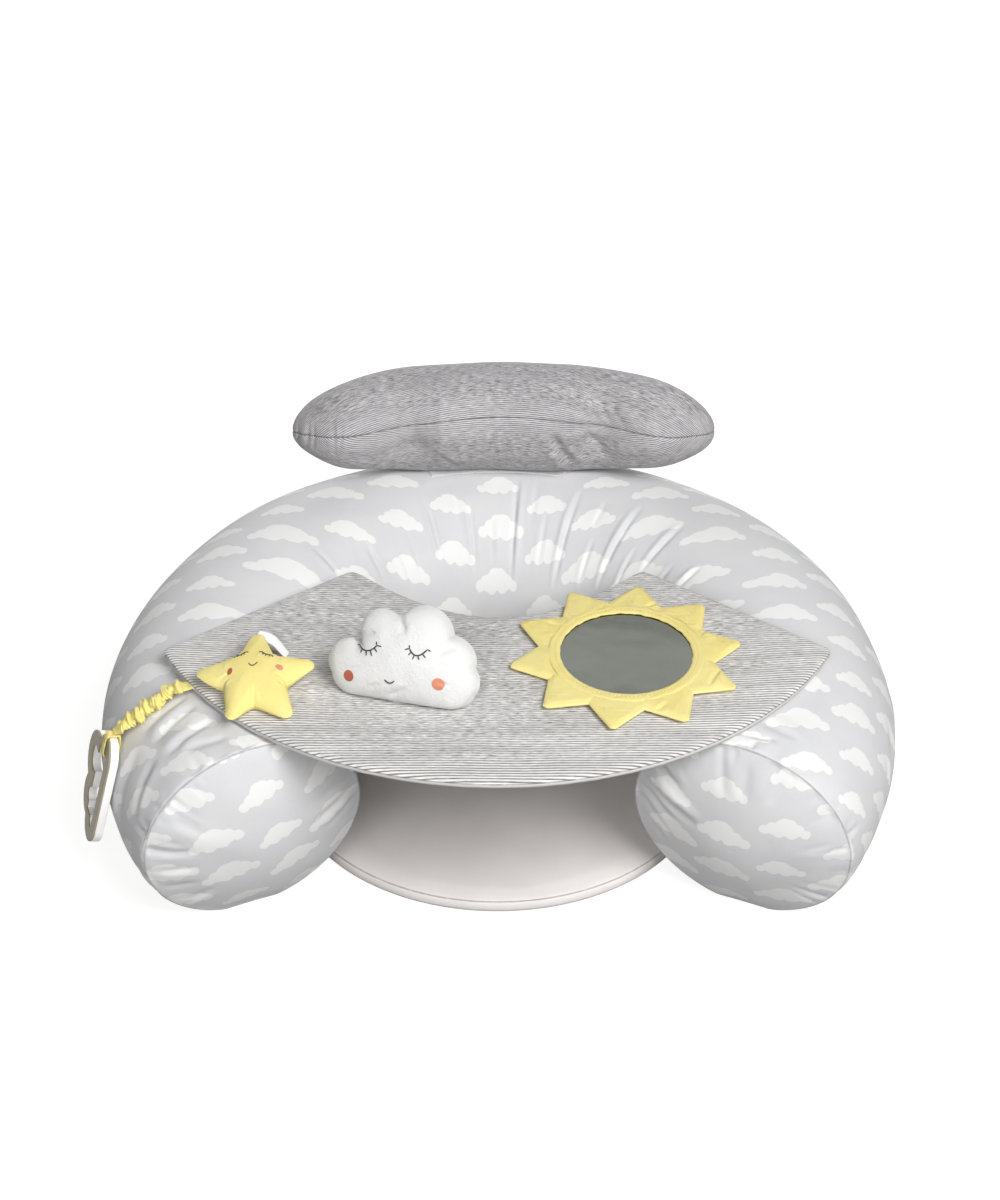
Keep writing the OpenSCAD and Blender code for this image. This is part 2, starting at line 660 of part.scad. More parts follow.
module mirror_disc() color([0.52, 0.53, 0.5])
    on_sun(cloth_t) cylinder(r = mirror_r + mirror_lip, h = sun_pad);
binding_w = 7.5;
module mirror_binding() color(yellow_cloth)
    on_sun(2 * cloth_t + sun_pad) rotate_extrude() translate([mirror_r + binding_w / 2, 0])
        intersection() {
            scale([1, 0.4]) circle(d = binding_w);
            translate([-binding_w, 0]) square(2 * binding_w);
        }

// ---- gathered strap, sewn in the tray's edge, with the teether ----

strap_phi = -108.5;
lean_a = 74;          // the teether leans on the ring this far out from the crest
lean_gap = 1;
hang_up = 36;         // from that line up to the top of the teether
edge_arm = front_r - tray_reach;
edge_rho = edge_arm * cos(strap_phi)
    + sqrt(front_r * front_r - pow(edge_arm * sin(strap_phi), 2));
edge_z = tray_z + tray_t / 2 + edge_rho * cos(strap_phi) * tan(tray_tilt);
strap_tube_r = tube_r(strap_phi);
hug_r = strap_tube_r + 2.4 + strap_t / 2;
strap_zc = strap_tube_r - floor_sag;
face_z = lean_gap + teether_t / 2;
loop_t = 1.6;
loop_w = strap_w * 0.72;
loop_inner_w = teether_t + 2;
loop_top = hang_up + 3;
// The loop passes through the round end of the teether's opening, where it rests
opening_r = loop_w / 2 + loop_play;
teether_end_r = opening_r + teether_rim;
loop_drop = opening_r - sqrt(opening_r * opening_r - loop_w * loop_w / 4);
loop_bottom = hang_up - teether_rim - fit_gap - loop_drop;
tab_w = strap_w * 0.7;
tab_in = 6;
tab_out = 3;
strap_start = edge_rho + tab_out + 1.4;
function hug(a) = [ring_r + hug_r * sin(a), strap_zc + hug_r * cos(a)];
// Up from the line where the teether leans and out from the ring
function leaning(up, out) =
    [ring_r + (strap_tube_r + out) * sin(lean_a) - up * cos(lean_a),
     strap_zc + (strap_tube_r + out) * cos(lean_a) + up * sin(lean_a)];
// Route in the upright plane through the strap: [distance from the centre, height]
strap_route = concat([[strap_start, edge_z], [strap_start + 7, edge_z - 1.5]],
                     [for (a = steps(22, 42, 5)) hug(a)],
                     [leaning(loop_top + loop_t + 1.2, face_z)]);
strap_rings = gathers * 4 + 1;
function along(list, f) =
    let (x = f * (len(list) - 1), i = min(floor(x), len(list) - 2)) list[i] + (x - i) * (list[i + 1] - list[i]);
function strap_ring(k) =
    let (
        f = k / (strap_rings - 1),
        p = along(strap_route, f),
        d = unit(along(strap_route, min(1, f + 0.02)) - along(strap_route, max(0, f - 0.02))),
        tie = smooth(min(f, 1 - f) * 9),
        puff = 0.5 + 0.5 * cos(360 * gathers * f + 180),
        w = strap_w / 2 * (0.72 + 0.28 * puff * tie),
        h = strap_t / 2 * (0.25 + 0.75 * tie * (0.62 + 0.38 * puff)),
        sway = tie * 0.9 * sin(180 * gathers * f)
    )
    [for (i = [0:7])
        let (q = -i * 45 - 22.5, e = w * cos(q) + sway, n = h * sin(q),
             rho = p[0] - d[1] * n, z = p[1] + d[0] * n)
        [rho * sin(strap_phi) - e * cos(strap_phi), rho * cos(strap_phi) + e * sin(strap_phi), z]];
function strap_end(f) =
    let (p = along(strap_route, f)) [p[0] * sin(strap_phi), p[0] * cos(strap_phi), p[1]];
module strap_cover() color(yellow_cloth)
    skin(strap_end(0), [for (k = [0:strap_rings - 1]) strap_ring(k)], strap_end(1));

// The strap's flat end, sewn into the tray's edge seam
module strap_tab() color(yellow_cloth)
    rotate([0, 0, -strap_phi]) translate([-tab_w / 2, edge_rho - tab_in, edge_z - cloth_t / 2])
        cube([tab_w, tab_in + tab_out, cloth_t]);

// Stands a piece on the ring where the teether leans: X back, Y down, Z out
module on_side() {
    rotate([0, 0, -strap_phi]) translate([0, ring_r, strap_zc])
        rotate([-lean_a, 0, 0]) translate([0, 0, strap_tube_r]) children();
}
module strap_loop() color(yellow_cloth)
    on_side() rotate([90, 0, 90]) translate([0, 0, -loop_w / 2])
        linear_extrude(loop_w) difference() {
            translate([-loop_top - loop_t, face_z - loop_inner_w / 2 - loop_t])
                square([loop_top - loop_bottom + 2 * loop_t, loop_inner_w + 2 * loop_t]);
            translate([-loop_top, face_z - loop_inner_w / 2])
                square([loop_top - loop_bottom, loop_inner_w]);
        }

// Teether: a cloud-shaped rim hung by one end, its flat side to the front
teether_lobes = concat([[teether_end_r - teether_l / 2, teether_end_r, teether_end_r]],
    teether_l * [[0.32, 0.18, 0.18], [-0.19, 0.36, 0.19], [0.13, 0.42, 0.235]]);
module teether_shape(rim) {
    for (lobe = teether_lobes) translate([lobe[0], lobe[1]]) circle(r = lobe[2] - rim);
    translate([teether_lobes[0][0], rim])
        square([teether_lobes[1][0] - teether_lobes[0][0], teether_lobes[2][1] - rim]);
}
face_t = 1.6;
module teether_plate(inner, outer) {
    on_side() translate([-teether_end_r, teether_l / 2 - hang_up, face_z + inner])
        rotate([0, 0, -90]) linear_extrude(outer - inner) difference() {
            teether_shape(0);
            teether_shape(teether_rim);
        }
}
module teether_body() color("white") teether_plate(-teether_t / 2, teether_t / 2 - face_t);
module teether_face() color([0.52, 0.49, 0.47]) teether_plate(teether_t / 2 - face_t, teether_t / 2);

// ---- head pillow, seated on the crest of the ring ----

pillow_x = 5;
pillow_y = ring_r + pillow_back;
pillow_squash = 6;
pillow_z = crest_z(0) + stack + pillow_h / 2 - pillow_squash;
pillow_steps = 32;
pillow_power = 2.7;  // 2 would be an oval plan, more a squarer one
function pillow_point(u, v, h, extra) =
    let (x = pillow_x + u, y = pillow_y + v - pillow_bend * pow(2 * u / pillow_l, 2))
    [x, y, max(pillow_z + h, ring_top(x, y, stack + extra))];
// Level 0 is the middle of a face and level 1 the seam
function pillow_loop_at(level, inset, side) =
    [for (i = [0:pillow_steps - 1])
        let (
            t = 360 * i / pillow_steps,
            u = (pillow_l / 2 - inset) * sign(cos(t)) * pow(level * cos(t) * cos(t), 1 / pillow_power),
            v = (pillow_d / 2 - inset) * sqrt(level) * sin(t),
            h = (pillow_h / 2 - inset) * pow(1 - level, 0.52)
        )
        pillow_point(u, v, side * h, inset)];
pillow_levels = [0.06, 0.3, 0.6, 0.86, 0.97];
function pillow_half(inset, side) = [for (l = pillow_levels) pillow_loop_at(l, inset, side)];
function pillow_pole(inset, side) = pillow_point(0, 0, side * (pillow_h / 2 - inset), inset);
module pillow_shell(side) {
    loops = concat(pillow_half(0, side), [pillow_loop_at(1, 0, side)],
                   [pillow_loop_at(1, cloth_t, side)], reversed(pillow_half(cloth_t, side)));
    skin(pillow_pole(0, side), side > 0 ? loops : [for (l = loops) reversed(l)],
         pillow_pole(cloth_t, side));
}
module pillow_top() color(stripe_cloth) pillow_shell(1);
module pillow_base() color(stripe_cloth) pillow_shell(-1);
module pillow_filling() color("white")
    skin(pillow_pole(cloth_t, 1),
         concat(pillow_half(cloth_t, 1), [pillow_loop_at(1, cloth_t, 1)],
                reversed(pillow_half(cloth_t, -1))),
         pillow_pole(cloth_t, -1));
module pillow_hook() color(tape_colour) pillow_patch(tape_t + fit_gap, stack + cloth_t * 0.5);

ring_cover_top();
ring_cover_base();
end_panel_left();
end_panel_right();
air_ring_upper();
air_ring_lower();
air_end_left();
air_end_right();
air_valve();
valve_plug();
mat_cover();
mat_padding();
mat_base();
zip_tape_upper();
zip_tape_lower();
zip_teeth_upper();
zip_teeth_lower();
zip_stops();
zip_slider();
zip_pull();
tray_loop_left();
tray_loop_right();
pillow_loop();
tray_cover_top();
tray_core();
tray_cover_base();
tray_hook_left();
tray_hook_right();
star_loop();
cloud_loop();
sun_loop();
star_front();
star_back();
star_filling();
star_hook();
star_ribbon();
cloud_front();
cloud_back();
cloud_filling();
cloud_hook();
sun_back();
sun_padding();
sun_front();
mirror_disc();
mirror_binding();
sun_hook();
strap_tab();
strap_cover();
strap_loop();
teether_body();
teether_face();
pillow_top();
pillow_base();
pillow_filling();
pillow_hook();
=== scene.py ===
import json
import math

import bmesh
import bpy
import numpy as np
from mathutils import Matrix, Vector
from mathutils.bvhtree import BVHTree


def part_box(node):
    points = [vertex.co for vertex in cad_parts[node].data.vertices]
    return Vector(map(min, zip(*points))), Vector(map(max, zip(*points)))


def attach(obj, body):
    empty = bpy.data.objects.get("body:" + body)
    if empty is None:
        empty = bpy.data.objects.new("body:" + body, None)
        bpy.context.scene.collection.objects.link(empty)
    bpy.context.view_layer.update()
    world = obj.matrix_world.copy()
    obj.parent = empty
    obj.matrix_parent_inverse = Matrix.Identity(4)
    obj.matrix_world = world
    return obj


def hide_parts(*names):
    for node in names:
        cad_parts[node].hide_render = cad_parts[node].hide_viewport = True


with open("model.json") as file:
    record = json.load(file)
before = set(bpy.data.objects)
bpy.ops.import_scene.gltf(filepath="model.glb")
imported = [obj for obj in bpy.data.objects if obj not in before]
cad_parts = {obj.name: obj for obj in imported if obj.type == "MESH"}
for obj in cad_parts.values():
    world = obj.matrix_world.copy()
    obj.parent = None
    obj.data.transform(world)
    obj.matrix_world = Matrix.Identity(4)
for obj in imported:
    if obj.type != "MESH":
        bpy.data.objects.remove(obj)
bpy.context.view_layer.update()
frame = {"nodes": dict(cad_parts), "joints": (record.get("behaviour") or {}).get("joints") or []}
nodes = frame["nodes"]
scene = bpy.context.scene

# ==== camera ====
# Stands in front of the open side of the seat and a little above it, tipped down.
camera = bpy.data.objects.new("camera", bpy.data.cameras.new("camera"))
camera.location = (0.0020, -1.4665, 1.1641)
camera.rotation_euler = (math.radians(90 - 33.04), 0, 0)
camera.data.sensor_fit = "VERTICAL"
camera.data.sensor_height = 36
camera.data.lens = 64.97
scene.collection.objects.link(camera)
scene.camera = camera
scene.view_settings.view_transform = "Standard"


# ==== studio ====
# A white floor that keeps the seat's soft shadow, a white surround, one large soft lamp high
# in front on the right, and two weaker and lower ones straight in front and behind.
def feed(tree, socket, value):
    """Links a socket to another or sets its value; None leaves it as it is"""
    if isinstance(value, bpy.types.NodeSocket):
        tree.links.new(value, socket)
    elif value is not None:
        socket.default_value = value


def node_in(tree, kind, *inputs, **settings):
    """A node with its settings made and its inputs fed, in their order"""
    node = tree.nodes.new("ShaderNode" + kind)
    for key, value in settings.items():
        setattr(node, key, value)
    for socket, value in zip(node.inputs, inputs):
        feed(tree, socket, value)
    return node


def calc(tree, operation, *values):
    return node_in(tree, "Math", *values, operation=operation).outputs[0]


def calc_vector(tree, operation, *values):
    return node_in(tree, "VectorMath", *values, operation=operation).outputs[0]


def noise(tree, place, scale, detail, roughness=None):
    return node_in(tree, "TexNoise", place, None, scale, detail, roughness).outputs[0]


def ramp(tree, value, low, high, to_low=0.0, to_high=1.0):
    """The value's way from low to high, eased at both ends"""
    settings = {"interpolation_type": "SMOOTHSTEP"}
    return node_in(tree, "MapRange", value, low, high, to_low, to_high, **settings).outputs[0]


def blend_colours(tree, factor, first, second):
    node = node_in(tree, "Mix", data_type="RGBA")
    for index, value in ((0, factor), (6, first), (7, second)):
        feed(tree, node.inputs[index], value)
    return node.outputs[2]


def lit_and_seen(tree, lit, seen, out):
    """Lights the scene with one shader, and shows another to straight, mirrored and bent rays"""
    rays = node_in(tree, "LightPath").outputs
    direct = calc(tree, "MAXIMUM", rays["Is Camera Ray"], rays["Is Glossy Ray"])
    direct = calc(tree, "MAXIMUM", direct, rays["Is Transmission Ray"])
    mixed = node_in(tree, "MixShader", direct, lit.outputs[0], seen.outputs[0])
    node_in(tree, out, mixed.outputs[0])


white = (1, 1, 1, 1)
world = bpy.data.worlds.new("surround")
world.use_nodes = True
tree = world.node_tree
tree.nodes.clear()
ambient = node_in(tree, "Background", white, 0.03)
# what mirrors show of the white room: long soft streaks, as of its seams and stands
room = node_in(tree, "TexCoord").outputs["Generated"]
streaks = noise(tree, calc_vector(tree, "MULTIPLY", room, (3.0, 3.0, 62.0)), 1.0, 1.0)
streaks = ramp(tree, streaks, 0.42, 0.62, 0.0, 0.6)
streaks = calc(tree, "MULTIPLY", streaks, node_in(tree, "LightPath").outputs["Is Glossy Ray"])
room_colour = blend_colours(tree, streaks, white, (0.1, 0.09, 0.085, 1))
lit_and_seen(tree, ambient, node_in(tree, "Background", room_colour), "OutputWorld")
scene.world = world

floor_paint = bpy.data.materials.new("floor_paint")
floor_paint.use_nodes = True
tree = floor_paint.node_tree
tree.nodes.clear()
lit_floor = node_in(tree, "BsdfDiffuse", (0.33, 0.33, 0.33, 1))
shaded_floor = node_in(tree, "BsdfDiffuse", (0.30, 0.29, 0.285, 1))
# the glow grows to full white away from the seat, where the lamps no longer reach
place = node_in(tree, "TexCoord").outputs["Object"]
far = node_in(tree, "VectorMath", place, operation="LENGTH").outputs["Value"]
glow = node_in(tree, "MapRange", far, 0.45, 1.0, 0.84, 1.0).outputs[0]
glowing_floor = node_in(tree, "Emission", white, glow)
white_floor = node_in(tree, "AddShader", shaded_floor.outputs[0], glowing_floor.outputs[0])
lit_and_seen(tree, lit_floor, white_floor, "OutputMaterial")

floor_mesh = bpy.data.meshes.new("floor")
floor_half = 12.0
floor_drop = 0.0004  # keeps the floor just clear of the seat's flat base
floor_mesh.from_pydata([(x * floor_half, y * floor_half, -floor_drop)
                        for x, y in ((-1, -1), (1, -1), (1, 1), (-1, 1))], [], [(0, 1, 2, 3)])
floor_mesh.materials.append(floor_paint)
floor = bpy.data.objects.new("floor", floor_mesh)
scene.collection.objects.link(floor)

lamp_size = 1.4
lamp_target = Vector((0, 0, 0.1))
for name, place, power in (("key_lamp", (1.1, -1.6, 2.2), 82), ("front_lamp", (-0.6, -2.2, 1.5), 28),
                           ("back_lamp", (-0.5, 2.4, 0.8), 30)):
    lamp = bpy.data.lights.new(name, "AREA")
    lamp.size = lamp_size
    lamp.energy = power
    holder = bpy.data.objects.new(name, lamp)
    holder.location = place
    holder.rotation_euler = (lamp_target - Vector(place)).to_track_quat("-Z", "Y").to_euler()
    scene.collection.objects.link(holder)


# ==== air ring ====
# A C-shaped tube of soft film, welded along its inner and outer edge and at its ends, with
# a flanged valve. It lies inside the cover, so only its finish is set here.
def colour(red, green, blue):
    """A shader colour from the 0 to 255 values that a paint chart gives"""
    share = [c / 255 for c in (red, green, blue)]
    linear = [c / 12.92 if c <= 0.04045 else ((c + 0.055) / 1.055) ** 2.4 for c in share]
    return (*linear, 1.0)


def new_group(name, inputs, outputs):
    """A shader node group, its input sockets and its output sockets by name"""
    group = bpy.data.node_groups.new(name, "ShaderNodeTree")
    for label in inputs:
        kind = "NodeSocketVector" if label == "Vector" else "NodeSocketFloat"
        group.interface.new_socket(label, in_out="INPUT", socket_type=kind)
    for label in outputs:
        group.interface.new_socket(label, in_out="OUTPUT", socket_type="NodeSocketFloat")
    return group, group.nodes.new("NodeGroupInput").outputs, group.nodes.new("NodeGroupOutput").inputs


def use_group(tree, group, **inputs):
    node = tree.nodes.new("ShaderNodeGroup")
    node.node_tree = group
    for label, value in inputs.items():
        feed(tree, node.inputs[label], value)
    return node.outputs


def new_material(name, sewn=False, **settings):
    """A material with one Principled shader, whose plain values are given by name, and the place
    that its pattern follows: on the flat cloth if the piece is sewn, else on the piece itself"""
    material = bpy.data.materials.new(name)
    material.use_nodes = True
    tree = material.node_tree
    tree.nodes.clear()
    shader = node_in(tree, "BsdfPrincipled")
    for label, value in settings.items():
        shader.inputs[label.replace("_", " ").title()].default_value = value
    node_in(tree, "OutputMaterial", shader.outputs[0])
    if sewn:
        return material, tree, shader, node_in(tree, "Attribute", attribute_name="cloth").outputs["Vector"]
    return material, tree, shader, node_in(tree, "TexCoord").outputs["Object"]


def dress(tree, shader, tone, dark, light, height, depth):
    """Colours a surface between two tones and raises it by a height in shares of depth, in metres"""
    feed(tree, shader.inputs["Base Color"], blend_colours(tree, tone, dark, light))
    bump = node_in(tree, "Bump")
    for label, value in (("Strength", 1.0), ("Distance", depth), ("Height", height)):
        feed(tree, bump.inputs[label], value)
    feed(tree, shader.inputs["Normal"], bump.outputs[0])


# Uneven tone and grain that every moulded or coated surface has
cloudy, given, result = new_group("uneven_tone", ("Vector", "Scale"), ("Tone", "Grain"))
broad = noise(cloudy, given["Vector"], given["Scale"], 3.0)
fine = noise(cloudy, given["Vector"], calc(cloudy, "MULTIPLY", given["Scale"], 24.0), 2.0)
feed(cloudy, result["Tone"], ramp(cloudy, broad, 0.25, 0.75))
feed(cloudy, result["Grain"], fine)


def moulded(name, dark, light, rough, grain_depth, **settings):
    """Plastic, rubber, metal or film: two close tones, a fine grain and uneven gloss"""
    material, tree, shader, place = new_material(name, **settings)
    tone = use_group(tree, cloudy, Vector=place, Scale=30.0)
    gloss = ramp(tree, tone["Grain"], 0.2, 0.8, rough * 0.85, rough * 1.15)
    feed(tree, shader.inputs["Roughness"], gloss)
    dress(tree, shader, tone["Tone"], dark, light, tone["Grain"], grain_depth)
    return material


def finish_nodes(material, slot, *names):
    """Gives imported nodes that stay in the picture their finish"""
    for name in names:
        part = nodes[name]
        part.data.materials.clear()
        part.data.materials.append(material)
        for polygon in part.data.polygons:
            polygon.material_index = 0


film = moulded("welded_film", colour(226, 227, 229), colour(236, 237, 238), 0.28, 0.00005)
finish_nodes(film, "air_film", "air_ring_upper", "air_ring_lower", "air_end_left", "air_end_right")
soft_plastic = moulded("valve_moulding", colour(234, 234, 232), colour(243, 243, 240), 0.45, 0.00003)
finish_nodes(soft_plastic, "valve_plastic", "air_valve", "valve_plug")


# ==== ring cover ====
# Printed cotton over the air ring: one long panel from the inner seam over the top to the
# outer seam, gathered at the inner seam behind the back, and a round domed panel sewn into
# each end. The underside is plain cloth.
MM = 0.001
ring_r = 236.0
tube_back_r = 101.0
tube_end_r = 90.0
floor_sag = 5.0
arm_angle = 125.5
taper_from = 35.0
panel_turn_from = 90.0
panel_yaw = 10.5
panel_pitch = 9.0
end_bulge = 24.0
seam_out = 120.0
seam_in = 143.0


def smooth(x):
    u = np.clip(x, 0.0, 1.0)
    return u * u * (3 - 2 * u)


def bell(x, width):
    return np.exp(-(x / width) ** 2)


def full_turn(count):
    return np.linspace(0, 2 * math.pi, count, endpoint=False)


def spots(*axes):
    """Points from their coordinates, each an array or one number"""
    return np.stack(np.broadcast_arrays(*axes), axis=-1)


def tube_r(phi):
    share = smooth((np.abs(phi) - taper_from) / (arm_angle - taper_from))
    return tube_back_r - (tube_back_r - tube_end_r) * share


def tube_point(phi, a, off=0.0):
    """A point of the ring in millimetres: phi from the middle of the back, a out from the crest"""
    phi, a, off = np.broadcast_arrays(np.asarray(phi, float), np.asarray(a, float), np.asarray(off, float))
    r = tube_r(phi)
    up = (r + off) * np.cos(np.radians(a))
    out = (r + off) * np.sin(np.radians(a))
    turned = smooth((np.abs(phi) - panel_turn_from) / (arm_angle - panel_turn_from))
    lead = turned * (up * math.tan(math.radians(panel_pitch)) - out * math.tan(math.radians(panel_yaw)))
    rho = ring_r + out
    turn = np.radians(phi) + np.sign(phi) * lead / rho
    z = np.maximum(r - floor_sag + up, 0.0)
    return spots(rho * np.sin(turn), rho * np.cos(turn), z)


def waves(x, y, seed, count, length, spread=0.5):
    """Seeded sum of plane waves about length long, from -1 to 1"""
    draw = np.random.default_rng(seed)
    total = np.zeros(np.broadcast(x, y).shape)
    for _ in range(count):
        angle = draw.uniform(0, 2 * math.pi)
        pace = 2 * math.pi / (length * draw.uniform(1 - spread, 1 + spread))
        total = total + np.sin(pace * (x * math.cos(angle) + y * math.sin(angle)) + draw.uniform(0, 6.28))
    return total / math.sqrt(count * 2)


def fold(x, y, start, end, width, depth, ridge=0.6, reach=0.25):
    """A groove from start to end with a ridge on its left (ridge over 0) or right, in mm"""
    (x0, y0), (x1, y1) = start, end
    length = math.hypot(x1 - x0, y1 - y0)
    along = ((x - x0) * (x1 - x0) + (y - y0) * (y1 - y0)) / length ** 2
    across = ((x1 - x0) * (y - y0) - (y1 - y0) * (x - x0)) / length
    fade = smooth(along / reach) * smooth((1 - along) / reach)
    side = math.copysign(1, ridge)
    bank = bell(across - side * 1.9 * width, 1.3 * width)
    return fade * depth * (abs(ridge) * bank - bell(across, width))


def grid_faces(rows, cols, closed=False, start=0, flip=False, looped=False):
    """Quads of a grid of points, row by row; closed joins the last column to the first one, and
    looped the last row"""
    row, col = np.meshgrid(np.arange(rows if looped else rows - 1), np.arange(cols if closed else cols - 1),
                           indexing="ij")
    ahead, right = (row + 1) % rows, (col + 1) % cols
    quads = spots(row * cols + col, row * cols + right, ahead * cols + right, ahead * cols + col)
    quads = quads.reshape(-1, 4) + start
    return (quads[:, ::-1] if flip else quads).tolist()


def fan(centre, first, count, flip=False):
    """Triangles from a centre to the closed row of points that begins at first"""
    pairs = [(first + i, first + (i + 1) % count) for i in range(count)]
    return [(centre, b, a) if flip else (centre, a, b) for a, b in pairs]


def disc_faces(rows, count, flip=False):
    """Faces of a middle point and the closed rows round it"""
    faces = fan(0, 1, count) + grid_faces(rows, count, closed=True, start=1, flip=True)
    return [face[::-1] for face in faces] if flip else faces


def cloth_piece(name, points, faces, material, body, pattern=None, stands_for=()):
    """A smooth mesh from points in millimetres; pattern holds each point's place on the flat
    cloth and, third, its distance from the nearest seam, along which painted shade darkens sewn cloth"""
    mesh = bpy.data.meshes.new(name)
    mesh.from_pydata((np.asarray(points, float).reshape(-1, 3) * MM).tolist(), [], faces)
    mesh.polygons.foreach_set("use_smooth", [True] * len(mesh.polygons))
    if pattern is not None:
        places = pattern.reshape(-1, pattern.shape[-1])
        flat = np.full((len(mesh.vertices), 3), 1.0)
        flat[:, :places.shape[1]] = places * MM
        mesh.attributes.new("cloth", "FLOAT_VECTOR", "POINT").data.foreach_set("vector", flat.ravel())
    mesh.materials.append(material)
    piece = bpy.data.objects.new(name, mesh)
    scene.collection.objects.link(piece)
    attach(piece, body)
    if stands_for:
        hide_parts(*stands_for)
    return piece


# Plain weave with a slight fuzz: threads, tone and height from flat cloth coordinates
weave, given, result = new_group("plain_weave", ("Vector", "Thread"), ("Height", "Tone"))
pace = calc(weave, "DIVIDE", 2 * math.pi, given["Thread"])
threads = node_in(weave, "SeparateXYZ", given["Vector"]).outputs
warp = calc(weave, "SINE", calc(weave, "MULTIPLY", threads[0], pace))
weft = calc(weave, "SINE", calc(weave, "MULTIPLY", threads[1], pace))
fuzz = noise(weave, given["Vector"], 900.0, 3.0)
stain = noise(weave, given["Vector"], 22.0, 4.0)
crossing = calc(weave, "MULTIPLY_ADD", calc(weave, "MULTIPLY", warp, weft), 0.25, 0.25)
feed(weave, result["Height"], calc(weave, "MULTIPLY_ADD", fuzz, 0.6, crossing))
stain = calc(weave, "MULTIPLY", ramp(weave, stain, 0.3, 0.7), 0.6)
feed(weave, result["Tone"], calc(weave, "MULTIPLY_ADD", ramp(weave, fuzz, 0.3, 0.7), 0.4, stain))

# Painted shade: a thin dark line that stands in for the shade where two cloths dip into their seam
shade_in_seams, given, result = new_group("shade_in_seams", ("Vector",), ("Mask",))
off_seam = node_in(shade_in_seams, "SeparateXYZ", given["Vector"]).outputs[2]
uneven = ramp(shade_in_seams, noise(shade_in_seams, given["Vector"], 160.0, 2.0), 0.25, 0.6, 0.45, 1.0)
groove_shade = ramp(shade_in_seams, off_seam, 0.0002, 0.0010, 1.0, 0.0)
feed(shade_in_seams, result["Mask"], calc(shade_in_seams, "MULTIPLY", groove_shade, uneven))

# Small clouds printed in a half-drop layout: each cell holds one cloud of joined circles,
# shifted, sized and turned over by chance
cloud_circles = ((1.2, 2.6, 9.0), (-8.6, 0.6, 6.8), (10.4, -0.4, 6.6), (-16.6, -2.8, 4.4),
                 (18.0, -3.2, 4.6), (-3.4, 5.2, 6.0), (-5.4, -3.4, 5.4), (5.4, -3.7, 5.4))
print_step = (96.0, 43.0)
print_nudge = (7.0, 5.0, 0.0)
half = (0.5, 0.5, 0.5)
clouds, given, result = new_group("cloud_print", ("Vector",), ("Mask",))
masks = []
for layer in (0, 1):
    scaled = calc_vector(clouds, "DIVIDE", given["Vector"], (print_step[0] * MM, print_step[1] * MM, 1.0))
    shifted = calc_vector(clouds, "ADD", scaled, (0.5 * layer, 0.5 * layer, 0.0))
    cell = calc_vector(clouds, "ADD", calc_vector(clouds, "FLOOR", shifted), (0.5, 0.5, 7.5 * layer + 0.5))
    chance = node_in(clouds, "TexWhiteNoise", cell, noise_dimensions="3D").outputs["Color"]
    draws = node_in(clouds, "SeparateColor", chance).outputs
    inside = calc_vector(clouds, "SUBTRACT", calc_vector(clouds, "FRACTION", shifted), (0.5, 0.5, 0.0))
    local = calc_vector(clouds, "MULTIPLY", inside, (*print_step, 0.0))
    nudge = calc_vector(clouds, "MULTIPLY", calc_vector(clouds, "SUBTRACT", chance, half), print_nudge)
    local = calc_vector(clouds, "SUBTRACT", local, nudge)
    axes = node_in(clouds, "SeparateXYZ", local).outputs
    turn_over = calc(clouds, "SIGN", calc(clouds, "SUBTRACT", draws[2], 0.5))
    size = ramp(clouds, draws[1], 0.0, 1.0, 0.88, 1.12)
    across = calc(clouds, "DIVIDE", calc(clouds, "MULTIPLY", axes[0], turn_over), size)
    upward = calc(clouds, "DIVIDE", axes[1], size)
    # a slight wobble, so that no two outlines are the same
    wobble = noise(clouds, given["Vector"], 90.0, 2.0)
    spot = node_in(clouds, "CombineXYZ", across, upward, 0.0).outputs[0]
    edge = None
    for x, y, radius in cloud_circles:
        gap = node_in(clouds, "VectorMath", spot, (x, y, 0.0), operation="DISTANCE").outputs["Value"]
        gap = calc(clouds, "SUBTRACT", gap, radius)
        edge = gap if edge is None else calc(clouds, "SMOOTH_MIN", edge, gap, 1.4)
    edge = calc(clouds, "ADD", edge, calc(clouds, "MULTIPLY_ADD", wobble, 3.0, -1.5))
    masks.append(ramp(clouds, edge, -0.5, 0.5, 1.0, 0.0))
feed(clouds, result["Mask"], calc(clouds, "MAXIMUM", *masks))
# the colour of the painted shade along the seams
seam_shade = colour(104, 100, 98)


def woven(name, dark, light, thread, ink=None):
    """Woven cotton between two close tones, with printed clouds if an ink colour is given"""
    material, tree, shader, flat = new_material(name, True, roughness=0.88, sheen_weight=0.12,
                                                sheen_roughness=0.5)
    cloth = use_group(tree, weave, Vector=flat, Thread=thread)
    base = blend_colours(tree, cloth["Tone"], dark, light)
    if ink is not None:
        printed = use_group(tree, clouds, Vector=flat)["Mask"]
        covering = calc(tree, "MULTIPLY", printed, ramp(tree, cloth["Tone"], 0.1, 0.9, 0.86, 1.0))
        base = blend_colours(tree, covering, base, ink)
    # painted shade darkens the cloth along its seams
    seam_shading = calc(tree, "MULTIPLY", use_group(tree, shade_in_seams, Vector=flat)["Mask"], 0.5)
    dress(tree, shader, seam_shading, base, seam_shade, cloth["Height"], 0.00012)
    return material


printed_cotton = woven("printed_cotton", colour(205, 205, 207), colour(213, 213, 214), 0.0006,
                       colour(232, 232, 230))
plain_cotton = woven("plain_cotton", colour(199, 196, 193), colour(207, 204, 200), 0.0006)

